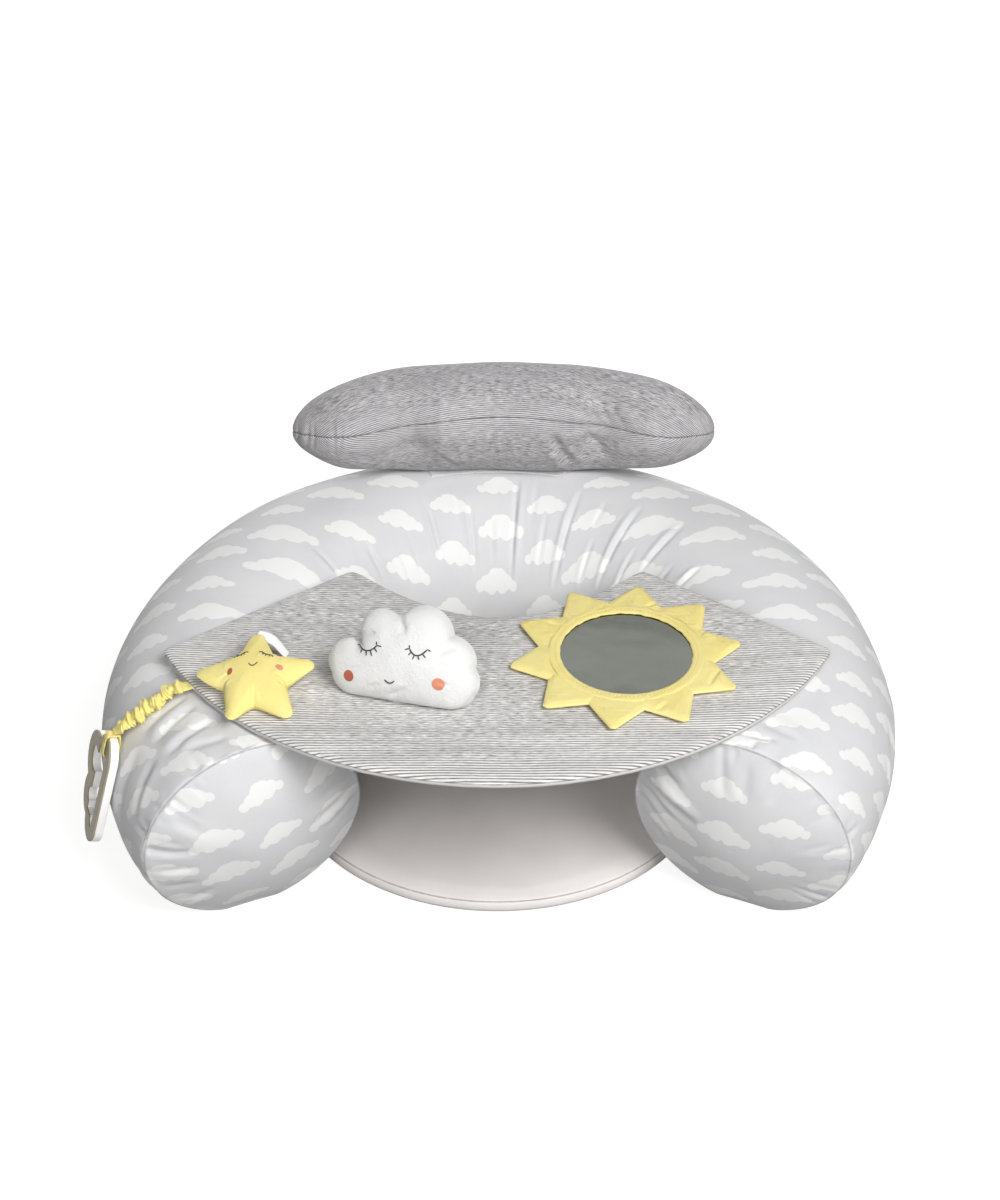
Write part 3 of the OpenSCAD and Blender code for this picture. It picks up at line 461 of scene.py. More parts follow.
# Gathers behind the back: [turn, from, to, half width, depth, ridge side and share]
back_gathers = [(-18.4, -13, -62, 2.3, 1.9, 0.7), (-7.4, -18, -66, 2.2, 1.6, 0.7),
                (-10.7, -10, -44, 2.6, 0.7, 0.4), (-40, -34, -60, 2.7, 1.0, 0.5),
                (4.7, -2, -72, 2.3, 2.2, -0.9), (9.6, -2, -44, 2.4, 0.8, 0.6),
                (20.2, -5, -72, 2.3, 2.3, 0.7), (27.4, -12, -36, 2.1, 0.8, 0.4),
                (36.1, -6, -66, 2.3, 2.3, 0.7), (48.2, -8, -48, 2.3, 2.2, 0.6),
                (62, -22, -44, 2.1, 1.8, 0.6), (-53, -20, -46, 2.6, 1.1, 0.6),
                (-39.5, -30, -60, 2.4, 0.8, -0.5), (13.6, -24, -62, 2.3, 1.0, 0.4),
                (-26.5, -34, -66, 2.6, 1.1, 0.6), (-1.5, -30, -60, 2.4, 0.8, -0.5),
                (55.5, -30, -58, 2.1, 1.3, 0.4), (-66, -30, -56, 2.7, 1.1, 0.6),
                (29, -34, -66, 2.1, 1.1, 0.4), (-31, -40, -70, 2.4, 1.0, 0.6),
                (42.5, -32, -64, 1.9, 1.2, 0.5)]
# Folds on the arms: [turn and angle at the start, then at the end, half width, depth, ridge]
arm_folds = [(-107.4, 11, -110.6, 42, 3.6, 1.8, 0.6), (-110.0, 8, -114.6, 40, 3.4, 1.8, -0.6),
             (-115.2, 4, -118.4, 38, 3.6, 2.2, -0.6), (-121.0, 6, -119.6, 30, 4.2, 1.8, -0.8),
             (-104.0, 14, -104.5, 52, 4.5, 1.2, 0.5), (-117.0, 40, -121.5, 74, 3.6, 1.6, 0.6),
             (-113.0, 44, -117.5, 92, 4.4, 1.3, -0.5), (122.0, -14, 121.0, 14, 4.0, 2.2, -0.6),
             (116.5, -6, 119.0, 20, 4.2, 1.2, 0.5), (98.0, 62, 112.0, 104, 5.5, 1.4, 0.5),
             (88.0, 70, 94.0, 112, 5.0, 1.2, -0.5), (106.0, 66, 114.0, 112, 4.6, 1.3, 0.6),
             (-96.0, 62, -100.0, 112, 5.0, 1.3, 0.5), (-104.0, 70, -110.0, 114, 4.6, 1.3, -0.5)]
zip_half_turn = 31.0
seam_draw = 2.4
tape_turn, tape_mid, tape_a = 15.0, 5.0, 9.0    # the pillow's loop tape, to either side of its middle
arm_tape_turn = 101.0                           # the middles of the tray's loop tapes on the arms
mm_per_turn, mm_per_a = 4.1, 1.76               # a degree's length at the crest, along and round the tube


def notch(distance):
    """Share of the seam's depth: a sharp notch in a soft dip"""
    return 0.6 * np.exp(-distance / 0.9) + 0.4 * np.exp(-distance / 6)


def finer_ends(low, high, count, span, extra):
    """Even steps from low to high that grow finer towards both ends"""
    near = span * np.linspace(0, 1, extra) ** 1.8
    return np.concatenate([low + near[:-1], np.linspace(low + span, high - span, count - 2 * extra),
                           (high - near[:-1])[::-1]])


def ring_relief(phi, a):
    """How far the cover stands off its even shape, in millimetres"""
    r = tube_r(phi)
    along = np.radians(phi) * (ring_r - 0.45 * r)
    around = np.radians(a) * r
    relief = 0.7 * waves(along, around, 11, 9, 120.0)
    for turn, top, low, width, depth, ridge in back_gathers:
        r0 = float(tube_r(turn))
        x = math.radians(turn) * (ring_r - 0.45 * r0)
        ends = (x, math.radians(low) * r0), (x, math.radians(top) * r0)
        relief = relief + fold(along, around, *ends, width, depth, ridge, 0.45)
    outside = np.radians(phi) * (ring_r + 0.4 * r)
    for phi0, a0, phi1, a1, width, depth, ridge in arm_folds:
        r0 = float(tube_r(phi0))
        ends = [(math.radians(p) * (ring_r + 0.4 * r0), math.radians(q) * r0)
                for p, q in ((phi0, a0), (phi1, a1))]
        relief = relief + fold(outside, around, *ends, width, depth, ridge)
    # small puckers along the seams, drawn up by the stitching
    draw = np.random.default_rng(5)
    for seam, reach, depth, count in ((seam_out, 26.0, 1.0, 90), (-seam_in, 40.0, 1.8, 70)):
        off_seam = np.radians(np.abs(a - seam)) * r
        for turn in draw.uniform(-arm_angle, arm_angle, count):
            if seam > 0 and abs(turn) < zip_half_turn + 2:
                continue
            shift = phi - turn - 0.02 * off_seam * draw.uniform(-1, 1)
            width = draw.uniform(0.7, 1.5)
            deep = depth * draw.uniform(0.3, 1.0)
            relief = relief - deep * bell(shift, width) * bell(off_seam, reach)
    from_end = (arm_angle - np.abs(phi)) * np.radians(1) * (ring_r + r * np.sin(np.radians(a)))
    for turn in draw.uniform(-seam_in, seam_out, 46):
        deep = draw.uniform(0.5, 1.9)
        shift = np.radians(a - turn) * r + 0.25 * from_end * draw.uniform(-1, 1)
        relief = relief - deep * bell(shift, draw.uniform(1.6, 3.4)) * bell(from_end, 14.0)
    # calm where the tapes and the zip lie, and at the seams themselves
    off_back_tape = smooth((np.abs(phi) - 13) / 8) + smooth((np.abs(a - tape_mid) - tape_a) / 8)
    off_arm_tapes = smooth((np.abs(np.abs(phi) - arm_tape_turn) - 9) / 6) + smooth((np.abs(a) - 9) / 8)
    off_zip = smooth((np.abs(phi) - zip_half_turn - 1) / 4) + smooth((seam_out - 9 - a) / 8)
    relief = relief * np.clip(off_back_tape, 0, 1) * np.clip(off_arm_tapes, 0, 1) * np.clip(off_zip, 0, 1)
    by_seams = smooth(from_end / 4) * smooth(np.radians(seam_out - a) * r / 4)
    relief = relief * by_seams * smooth(np.radians(a + seam_in) * r / 4)
    # a soft bank round the pillow's tape
    off_tape = np.maximum((np.abs(phi) - tape_turn) * mm_per_turn, (np.abs(a - tape_mid) - tape_a) * mm_per_a)
    relief = relief + 1.25 * smooth((15 - off_tape) / 14) * smooth((off_tape + 3) / 3)
    drawn_in = notch(from_end) + notch(np.radians(a + seam_in) * r)
    drawn_in = drawn_in + np.clip(off_zip, 0, 1) * notch(np.radians(seam_out - a) * r)
    # no fold may stand up into the tray or the pillow
    under_tray = smooth((np.abs(phi) - 84) / 6) * smooth((24 - a) / 8)
    by_pillow = smooth((54 - np.abs(phi)) / 6) * smooth((a + 42) / 10)
    highest = 4.4 - 3.9 * under_tray - 2.6 * by_pillow
    return np.minimum(relief, highest) - seam_draw * np.minimum(drawn_in, 1)


def seam_gap(phi, a, low, high):
    """Distance in millimetres to the nearest seam of a long panel that spans angles low to high"""
    r = tube_r(phi)
    gap = (arm_angle - np.abs(phi)) * np.radians(1) * (ring_r + r * np.sin(np.radians(a)))
    by_zip = 100.0 * (np.abs(phi) < zip_half_turn + 1.5)
    for seam in (low, high):
        gap = np.minimum(gap, np.radians(np.abs(a - seam)) * r + (by_zip if seam == seam_out else 0.0))
    return gap


def print_place(phi, a):
    """Where a point of the ring lies on the printed cloth, and how far from a seam, in millimetres"""
    v = np.radians(a) * tube_r(phi)
    across = ring_r + np.where(v > 0, v, 0.5 * v)
    along = ring_r + np.where(v > 0, v, 0.9 * v)
    return spots(across * np.sin(np.radians(phi)), along * np.cos(np.radians(phi)),
                 seam_gap(phi, a, -seam_in, seam_out))


top_phi, top_a = np.meshgrid(finer_ends(-arm_angle, arm_angle, 640, 5.0, 30),
                             finer_ends(-seam_in, seam_out, 190, 5.0, 12))
top_points = tube_point(top_phi, top_a, ring_relief(top_phi, top_a))
ring_top = cloth_piece("ring_top_cloth", top_points, grid_faces(*top_phi.shape, flip=True), printed_cotton,
                       "ring", print_place(top_phi, top_a), ["ring_cover_top"])

base_phi, base_a = np.meshgrid(finer_ends(-arm_angle, arm_angle, 460, 5.0, 24),
                               finer_ends(seam_out, 360 - seam_in, 80, 5.0, 12))
base_r = tube_r(base_phi)
base_from_end = (arm_angle - np.abs(base_phi)) * np.radians(1) * ring_r
base_relief = 1.0 * waves(np.radians(base_phi) * ring_r, np.radians(base_a) * base_r, 31, 8, 60.0)
base_gathers = smooth(np.sin(np.radians(base_phi) * 46) - 0.2)
base_relief -= base_gathers * np.exp(-np.radians(base_a - seam_out) * base_r / 12)
base_edges = (smooth(base_from_end / 5) * smooth(np.radians(base_a - seam_out) * base_r / 5)
              * smooth(np.radians(360 - seam_in - base_a) * base_r / 5))
base_zip = np.clip(smooth((np.abs(base_phi) - zip_half_turn - 1) / 4) + smooth((base_a - seam_out - 9) / 8),
                   0, 1)
base_drawn = (notch(base_from_end) + base_zip * notch(np.radians(base_a - seam_out) * base_r)
              + notch(np.radians(360 - seam_in - base_a) * base_r))
base_out = base_relief * base_edges * base_zip - seam_draw * np.minimum(base_drawn, 1)
base_points = tube_point(base_phi, base_a, base_out)
base_flat = spots(np.radians(base_phi) * ring_r, np.radians(base_a) * base_r,
                  seam_gap(base_phi, base_a, seam_out, 360 - seam_in))
ring_base = cloth_piece("ring_base_cloth", base_points, grid_faces(*base_phi.shape, flip=True),
                        plain_cotton, "ring", base_flat, ["ring_cover_base"])

# Folds of the end panels: [out, up at the start, then at the end, half width, depth, ridge]
panel_folds = {-1: [(84, 8, 50, 10, 3.4, 1.1, 0.5), (84, -14, 52, -8, 3.2, 1.2, 0.5),
                    (80, -36, 48, -26, 3.6, 1.1, -0.5), (70, 44, 44, 26, 4.0, 1.2, 0.5),
                    (60, -58, 36, -38, 4.0, 1.2, 0.5), (86, 20, 60, 18, 3.0, 0.9, 0.5),
                    (-84, 22, -40, 4, 4.4, 1.8, 0.6), (-82, 32, -46, 30, 4.0, 1.4, -0.6),
                    (-86, 8, -52, -8, 3.6, 1.3, 0.5)],
               1: [(-86, 34, -26, 10, 4.6, 2.6, 0.8), (-84, 26, -48, 4, 3.8, 2.0, 0.7),
                   (-84, 14, -54, -18, 3.6, 1.3, 0.5), (-70, 52, -40, 40, 4.0, 1.2, 0.5),
                   (-80, -10, -60, -30, 3.6, 1.0, 0.5), (10, 84, 8, 48, 4.4, 1.0, 0.5),
                   (-12, 82, -8, 46, 4.4, 0.9, 0.5), (40, 74, 26, 48, 4.0, 1.0, -0.5),
                   (80, 20, 52, 10, 3.4, 0.8, 0.5)]}
panel_print_turn = {-1: 20.0, 1: -3.0}
panel_print_shift = {-1: (30.0, 12.0), 1: (8.0, 30.0)}
for side, side_name in ((-1, "left"), (1, "right")):
    rim_phi = side * arm_angle
    rim_r = float(tube_r(rim_phi))
    middle = tube_point(rim_phi, 0, -rim_r)
    up_axis = tube_point(rim_phi, 0, 0) - middle
    out_axis = tube_point(rim_phi, 90, 0) - middle
    bulge_axis = -side * np.cross(up_axis, out_axis)
    bulge_axis = bulge_axis / np.linalg.norm(bulge_axis)
    rim_a = np.linspace(0, 360, 240, endpoint=False)
    ring_share = np.sin(np.linspace(0, math.pi / 2, 60))[1:]
    share, angle = np.meshgrid(ring_share, rim_a, indexing="ij")
    rim = tube_point(np.full_like(angle, rim_phi), angle, -seam_draw)
    flat_out = share * rim_r * np.sin(np.radians(angle))
    flat_up = share * rim_r * np.cos(np.radians(angle))
    relief = 0.8 * waves(flat_out, flat_up, 21 + side, 7, 70.0)
    for out0, up0, out1, up1, width, depth, ridge in panel_folds[side]:
        relief = relief + fold(flat_out, flat_up, (out0, up0), (out1, up1), width, depth, ridge, 0.35)
    draw = np.random.default_rng(40 + side)
    off_rim = (1 - share) * rim_r
    for turn in draw.uniform(0, 360, 54):
        shift = np.radians((angle - turn + 180) % 360 - 180) * rim_r
        deep = draw.uniform(0.2, 1.5)
        relief = relief - deep * bell(shift, draw.uniform(1.5, 3.2)) * bell(off_rim, draw.uniform(8, 24))
    relief = relief * smooth(off_rim / 4)
    dome = end_bulge * (1 - share ** 2) + relief
    panel = middle + share[..., None] * (rim - middle) + bulge_axis * dome[..., None]
    panel[..., 2] = np.maximum(panel[..., 2], 0.0)
    tip = (middle + bulge_axis * end_bulge).reshape(1, 3)
    points = np.concatenate([tip, panel.reshape(-1, 3)])
    faces = disc_faces(len(ring_share), len(rim_a), flip=side > 0)
    tilt = math.radians(panel_print_turn[side])
    across = side * flat_out * math.cos(tilt) + flat_up * math.sin(tilt)
    upward = flat_up * math.cos(tilt) - side * flat_out * math.sin(tilt)
    pattern = spots(across, upward, off_rim).reshape(-1, 3)
    pattern = np.concatenate([[[0, 0, 90.0]], pattern]) + np.array([*panel_print_shift[side], 0])
    end_piece = cloth_piece("end_cloth_" + side_name, points, faces, printed_cotton, "ring",
                            pattern, ["end_panel_" + side_name])


# ==== zip ====
# A coarse moulded zip in the outer seam behind the back, through which the air ring goes in:
# woven tapes, moulded teeth, metal stops, a slider and its pull.
zip_tape, tree, shader, place = new_material("zip_tape_weave", roughness=0.85)
cloth = use_group(tree, weave, Vector=place, Thread=0.0009)
dress(tree, shader, cloth["Tone"], colour(216, 216, 217), colour(226, 226, 227), cloth["Height"], 0.0002)
finish_nodes(zip_tape, "zip_tape", "zip_tape_upper", "zip_tape_lower")
zip_plastic = moulded("zip_tooth_moulding", colour(232, 232, 230), colour(240, 240, 238), 0.35, 0.00002)
finish_nodes(zip_plastic, "zip_teeth", "zip_teeth_upper", "zip_teeth_lower")
cast_metal = moulded("zip_cast_metal", colour(196, 197, 199), colour(212, 212, 214), 0.32, 0.00002,
                     metallic=1.0)
finish_nodes(cast_metal, "zip_metal", "zip_stops", "zip_slider", "zip_pull")

# ==== seat mat ====
# A thin pad sewn into the inner seam: plain cloth over wadding, with a stitched line just
# above its boxed front edge.
mat_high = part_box("mat_cover")[1]
mat_top = mat_high.z / MM
mat_centre = Vector((0.0, 0.02, mat_high.z * 0.5))
mat_seam = 9.6   # height of the stitched line over the floor
mat_foot = 0.2


def surface_of(piece):
    """A piece's surface, for finding where a line meets it"""
    mesh = piece.data
    return BVHTree.FromPolygons([v.co for v in mesh.vertices], [p.vertices for p in mesh.polygons])


def reach_of(node, centre, angles, plane=((1, 0, 0), (0, 1, 0))):
    """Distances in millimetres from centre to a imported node's outline, seen in a plane"""
    surface = surface_of(nodes[node])
    first, second = Vector(plane[0]), Vector(plane[1])
    distances = []
    for t in angles:
        away = first * math.cos(t) + second * math.sin(t)
        hit = surface.ray_cast(centre + away * 2.0, -away)[0]
        distances.append((hit - centre).length / MM)
    return np.array(distances)


mat_angles = full_turn(300)
mat_reach = reach_of("mat_cover", mat_centre, mat_angles)
mat_reach = sum(np.roll(mat_reach, k) for k in range(-3, 4)) / 7
# the section from the middle of the pad, over its edge and the boxed band, to the floor
mat_shares = [(s, 0.0, mat_top - 1.4 * smooth((s - 0.90) / 0.07)) for s in np.linspace(0.03, 0.965, 44)]
mat_shares += [(0.98, -0.2, mat_top - 2.0), (0.99, -0.6, mat_seam + 1.1), (0.99, 0.3, mat_seam + 0.3),
               (0.99, -0.6, mat_seam), (0.99, 0.2, mat_seam - 0.4), (0.99, 1.1, mat_seam - 1.6),
               (0.99, 1.7, 5.5), (0.99, 1.8, 3.0), (0.99, 1.3, 1.0), (0.98, 0.3, mat_foot)]
mat_rows = []
for share, stand, height in mat_shares:
    radius = share * mat_reach + stand
    x, y = radius * np.cos(mat_angles), radius * np.sin(mat_angles) + mat_centre.y / MM
    inner = smooth((0.96 - share) / 0.2)
    ripple = 0.55 * waves(x, y, 61, 8, 80.0) * inner
    ripple -= 0.5 * smooth(np.sin(x / 7.5 + 2 * np.sin(x / 31)) - 0.3) * bell(share - 0.93, 0.05)
    mat_rows.append(spots(x, y, height + ripple))
mat_grid = np.array(mat_rows)
mat_points = np.concatenate([[[0, mat_centre.y / MM, mat_top]], mat_grid.reshape(-1, 3),
                             [[0, mat_centre.y / MM, mat_foot]]])
mat_count = len(mat_angles)
mat_last = 1 + (len(mat_rows) - 1) * mat_count
mat_faces = disc_faces(len(mat_rows), mat_count) + fan(len(mat_points) - 1, mat_last, mat_count, flip=True)
mat_cotton = woven("mat_cotton", colour(216, 211, 208), colour(224, 219, 216), 0.0007)
# the third place is the distance from the stitched line: the pad dips there in its shape, and painted shade
# darkens the cloth along it
mat_flat = np.column_stack([mat_points[:, :2], np.abs(mat_points[:, 2] - mat_seam)])
mat = cloth_piece("seat_mat", mat_points, mat_faces, mat_cotton, "ring", mat_flat,
                  ["mat_cover", "mat_padding", "mat_base"])


def tubes(name, lines, radius, material, body):
    """Thin round threads along lists of points, in millimetres, as one piece"""
    points, faces, sides = [], [], 6
    for line in lines:
        line = np.asarray(line, float)
        way = np.gradient(line, axis=0)
        way /= np.linalg.norm(way, axis=1)[:, None]
        side = np.cross(way, [0.13, 0.21, 0.97])
        side /= np.linalg.norm(side, axis=1)[:, None]
        other = np.cross(way, side)
        first = len(points)
        last = len(line) - 1
        for i, spot in enumerate(line):
            slim = radius * (0.55 if i in (0, last) else 1.0)
            for k in range(sides):
                turn = 2 * math.pi * k / sides
                points.append(spot + slim * (math.cos(turn) * side[i] + math.sin(turn) * other[i]))
        faces += grid_faces(len(line), sides, closed=True, start=first)
        faces.append([first + k for k in range(sides)])
        faces.append([first + last * sides + k for k in reversed(range(sides))])
    return cloth_piece(name, points, faces, material, body)


# ==== loop and hook tapes ====
# Patches of loop tape sewn on the arms, the crest behind the back and the tray; patches of
# hook tape sewn under the tray, the pillow and the toys.
nap_tape, tree, shader, place = new_material("hook_and_loop_nap", roughness=0.95, sheen_weight=0.3)
tufts = node_in(tree, "TexVoronoi", place, None, 1400.0).outputs["Distance"]
dress(tree, shader, tufts, colour(232, 232, 232), colour(206, 206, 207), tufts, 0.0004)
tape_ends = ("_hook", "_loop", "_loop_left", "_loop_right", "_hook_left", "_hook_right")
finish_nodes(nap_tape, "hook_loop_tape", *[n for n in nodes if n.endswith(tape_ends) and n != "strap_loop"])

# ==== tray ====
# A kite-shaped play tray: foam sheet in a cover of striped jersey above and plain grey
# cloth below, joined by a seam low on its edge. It lies on the arms' loop patches.
tray_tilt = math.radians(3.01654)
tray_z = 183.996
tray_t = 7.0
tray_seam = 4.2
tray_half_w = 268.0
tray_reach = 201.0
front_depth = tray_reach - 37.0
front_r = (tray_half_w ** 2 + front_depth ** 2) / (2 * front_depth)
tray_turn = np.array([[1, 0, 0], [0, math.cos(tray_tilt), -math.sin(tray_tilt)],
                      [0, math.sin(tray_tilt), math.cos(tray_tilt)]])


def on_tray(points):
    """Points in the tray's own plane, in millimetres, moved to where the tray lies"""
    return np.asarray(points, float) @ tray_turn.T + np.array([0, 0, tray_z])


tray_middle = np.array([0.0, -80.0])
tray_angles = full_turn(480)
tray_plane = tray_turn[:, 0], tray_turn[:, 1]
tray_centre = Vector(on_tray([[*tray_middle, 0.5 * (tray_seam + tray_t)]])[0] * MM)
tray_outline = reach_of("tray_cover_top", tray_centre, tray_angles, tray_plane)
# the section from the middle to the seam: [inset from the edge, height]
tray_edge = [(14, 0.0), (9, -0.1), (6, -0.3), (4, -0.6), (2.4, -1.0), (1.2, -1.6), (0.4, -2.1), (0.0, -2.5)]


def tray_skin(levels, flat_height, flip, puff=0.0):
    """Points and faces of one side of the tray, from the middle to its edge"""
    rows = []
    widest = max(inset for inset, _ in levels)
    for share in np.linspace(0.04, 1, 46):
        radius = (tray_outline - widest) * share
        x, y = tray_middle[0] + radius * np.cos(tray_angles), tray_middle[1] + radius * np.sin(tray_angles)
        soft = puff * (0.35 * waves(x, y, 71, 8, 95.0) + 0.25) * smooth((1.02 - share) / 0.12)
        rows.append(spots(x, y, flat_height + soft))
    for inset, drop in levels[1:]:
        radius = tray_outline - inset
        x, y = tray_middle[0] + radius * np.cos(tray_angles), tray_middle[1] + radius * np.sin(tray_angles)
        rows.append(spots(x, y, flat_height + drop))
    grid = np.array(rows)
    points = np.concatenate([[[*tray_middle, flat_height]], grid.reshape(-1, 3)])
    return points, disc_faces(len(rows), len(tray_angles), flip)


# Fine stripes of a marled jersey: dark lines broken by light streaks along the rows
jersey, given, result = new_group("striped_jersey", ("Vector", "Pitch", "Marl"), ("Light", "Height"))
axes = node_in(jersey, "SeparateXYZ", given["Vector"]).outputs
drift = noise(jersey, given["Vector"], 9.0, 2.0)
rows_up = calc(jersey, "MULTIPLY_ADD", drift, 0.004, axes[1])
phase = calc(jersey, "MULTIPLY", calc(jersey, "DIVIDE", rows_up, given["Pitch"]), 2 * math.pi)
stripe = ramp(jersey, calc(jersey, "SINE", phase), -0.75, 0.25)
stretched = node_in(jersey, "CombineXYZ", calc(jersey, "MULTIPLY", axes[0], 0.10), rows_up, 0.0).outputs[0]
streaks = noise(jersey, stretched, 1150.0, 2.0, 0.7)
short = noise(jersey, stretched, 1700.0, 1.0)
flecks = calc(jersey, "MULTIPLY_ADD", short, 0.3, calc(jersey, "MULTIPLY", streaks, 0.7))
flecks = ramp(jersey, flecks, 0.34, 0.66)
blotch = ramp(jersey, noise(jersey, stretched, 40.0, 3.0), 0.25, 0.75, 0.6, 1.3)
mixing = node_in(jersey, "Clamp", calc(jersey, "MULTIPLY", given["Marl"], blotch)).outputs[0]
even = calc(jersey, "MULTIPLY", stripe, calc(jersey, "SUBTRACT", 1.0, mixing))
mixed = calc(jersey, "ADD", even, calc(jersey, "MULTIPLY", flecks, mixing))
patch = ramp(jersey, noise(jersey, stretched, 90.0, 3.0), 0.3, 0.7, 0.76, 1.0)
feed(jersey, result["Light"], calc(jersey, "MULTIPLY", mixed, patch))
raised = calc(jersey, "MULTIPLY_ADD", streaks, 0.5, calc(jersey, "MULTIPLY", stripe, 0.5))
feed(jersey, result["Height"], raised)


def knitted(name, dark, light, pitch, crisp, marled, reach):
    """Marled jersey: fine stripes, crisp by the seam and more mixed up to reach away from it"""
    material, tree, shader, flat = new_material(name, True, roughness=0.92, sheen_weight=0.15,
                                                sheen_roughness=0.5)
    off_seam = node_in(tree, "SeparateXYZ", flat).outputs[2]
    marl = ramp(tree, off_seam, *reach, crisp, marled)
    cloth = use_group(tree, jersey, Vector=flat, Pitch=pitch, Marl=marl)
    base = blend_colours(tree, cloth["Light"], dark, light)
    # painted shade darkens the jersey along its seams
    seam_shading = calc(tree, "MULTIPLY", use_group(tree, shade_in_seams, Vector=flat)["Mask"], 0.8)
    dress(tree, shader, seam_shading, base, seam_shade, cloth["Height"], 0.0003)
    return material


tray_jersey = knitted("tray_jersey", colour(98, 93, 94), colour(250, 248, 246), 0.0028, 0.35, 0.78,
                      (0.0, 0.08))
top_skin, top_faces = tray_skin(tray_edge, tray_t, False, 1.0)
bend = top_skin[:, 1] - 10.0 * (np.abs(top_skin[:, 0]) / tray_half_w) ** 3
# the cloth is crisp along the tray's round front edge, which is part of a circle; painted shade darkens the
# cloth right at that edge
front_gap = front_r - np.hypot(top_skin[:, 0], top_skin[:, 1] - (front_r - tray_reach))
tray_top = cloth_piece("tray_top_cloth", on_tray(top_skin), top_faces, tray_jersey, "tray",
                       spots(top_skin[:, 0], bend, np.maximum(front_gap, 0.0)),
                       ["tray_cover_top", "tray_core"])
tray_under_edge = [(14, 0.0), (3, 0.0), (1.4, 0.3), (0.5, 1.0), (0.1, 2.2), (0.1, 3.4), (0.9, 4.1),
                   (1.2, 4.6)]
under_skin, under_faces = tray_skin(tray_under_edge, 0.0, True)
tray_lining = woven("tray_lining", colour(196, 193, 190), colour(206, 203, 200), 0.0007)
tray_under = cloth_piece("tray_under_cloth", on_tray(under_skin), under_faces, tray_lining, "tray",
                         under_skin[:, :2], ["tray_cover_base"])

# ==== star ====
# A stuffed toy of brushed yellow jersey, seamed round its edge, with a sewn sleeping face, two
# stitched cheeks and a folded ribbon tag. Hook tape under it holds it on the tray.
toy_rest = 9.1      # a toy's underside over the tray's plane


def puffed(inside, step, fullness):
    """Height of a stuffed bag over a raster of its outline, from 0 to 1; its edges are round at
    a fullness of 0.5 and thinner above that"""
    level = np.zeros(inside.shape)
    for _ in range(1800):    # rounds, until the skin has settled
        around = level[1:-1, :-2] + level[1:-1, 2:] + level[:-2, 1:-1] + level[2:, 1:-1]
        level[1:-1, 1:-1] = np.where(inside[1:-1, 1:-1], (around + step * step) / 4, 0.0)
    return (level / level.max()) ** fullness


def sampled(raster, x, y, size, step):
    """The raster's value at x, y, between its four nearest cells; it begins at -size both ways"""
    col = np.clip((x + size) / step, 0, raster.shape[1] - 1.001)
    row = np.clip((y + size) / step, 0, raster.shape[0] - 1.001)
    c, r = col.astype(int), row.astype(int)
    fx, fy = col - c, row - r
    return ((raster[r, c] * (1 - fx) + raster[r, c + 1] * fx) * (1 - fy)
            + (raster[r + 1, c] * (1 - fx) + raster[r + 1, c + 1] * fx) * fy)


def both_sides(front):
    """The rows of a form's front, and then the same rows as its back"""
    return np.concatenate([front, front[::-1][1:] * (1, 1, -1)])


def stuffed(edge, count, levels, half_height, step, fullness, creases):
    """Flat places and heights of a stuffed toy, its front's rows outward and its back's inward:
    [row, angle, (x, y, height)]"""
    angles = full_turn(count)
    rim = np.array([edge(t) for t in angles])
    size = rim.max() + 3 * step
    line = np.arange(-size, size + step, step)
    x, y = np.meshgrid(line, line)
    far = np.interp(np.arctan2(y, x) % (2 * math.pi), np.append(angles, 2 * math.pi),
                    np.append(rim, rim[0]))
    raster = puffed(np.hypot(x, y) < far, step, fullness)
    shares = np.sin(np.linspace(0, math.pi / 2, levels))[:, None]
    flat_x, flat_y = shares * rim * np.cos(angles), shares * rim * np.sin(angles)
    height = half_height * sampled(raster, flat_x * 0.995, flat_y * 0.995, size, step)
    for start, end, width, depth, ridge in creases:
        height = height + fold(flat_x, flat_y, start, end, width, depth, ridge, 0.35) * smooth(height / 4)
    return both_sides(spots(flat_x, flat_y, height * (1 - shares ** 40)))


def brushed(name, dark, light, nap, **settings):
    """Brushed jersey or fleece: two close tones, small loops and a soft sheen"""
    material, tree, shader, place = new_material(name, roughness=0.95, sheen_roughness=0.45, **settings)
    cloth = use_group(tree, weave, Vector=place, Thread=nap)
    pile = calc(tree, "MULTIPLY_ADD", noise(tree, place, 420.0, 4.0), 1.4, cloth["Height"])
    dress(tree, shader, cloth["Tone"], dark, light, pile, 0.0005)
    return material


star_place = (-187.6, -93.1)
star_r = 47.5
star_valley = 0.54 * star_r
star_tip = 6.0
star_half = 13.5
star_squash = 4.0
star_first = 92.0
star_sharp = star_r + 1.5 * star_tip
star_slope = math.tan(math.radians(10))   # the top arm is raised


def star_edge(t):
    """Distance to the star's edge: straight flanks that end in round tips"""
    m = abs((math.degrees(t) - star_first + 36 + 720) % 72 - 36)
    step, valley = math.radians(36), math.radians(m)
    line = star_sharp * star_valley * math.sin(step)
    line /= star_sharp * math.sin(valley) + star_valley * math.sin(step - valley)
    across = (star_r - star_tip) * math.sin(valley)
    if across < star_tip:
        line = min(line, (star_r - star_tip) * math.cos(valley) + math.sqrt(star_tip ** 2 - across ** 2))
    return line


# Creases at the valleys, then two beside its face: [from, to, half width, depth, ridge]
star_creases = []
for k in range(5):
    for spread, far in ((0, 0.62), (-11, 0.74), (12, 0.8)):
        t = math.radians(star_first + 36 + 72 * k + spread)
        inner = (star_valley * far * math.cos(t), star_valley * far * math.sin(t))
        outer = (star_valley * 1.1 * math.cos(t), star_valley * 1.1 * math.sin(t))
        star_creases.append((outer, inner, 1.1, 0.5, 0.6))
star_creases += [((-25.0, 12.0), (-23.6, -7.0), 1.1, 1.0, 0.7),
                 ((-21.6, 8.0), (-20.6, -8.0), 1.0, 0.6, -0.6)]
star_levels, star_count = 34, 240
star_form = stuffed(star_edge, star_count, star_levels, star_half * 1.02, 0.8, 0.62, star_creases)
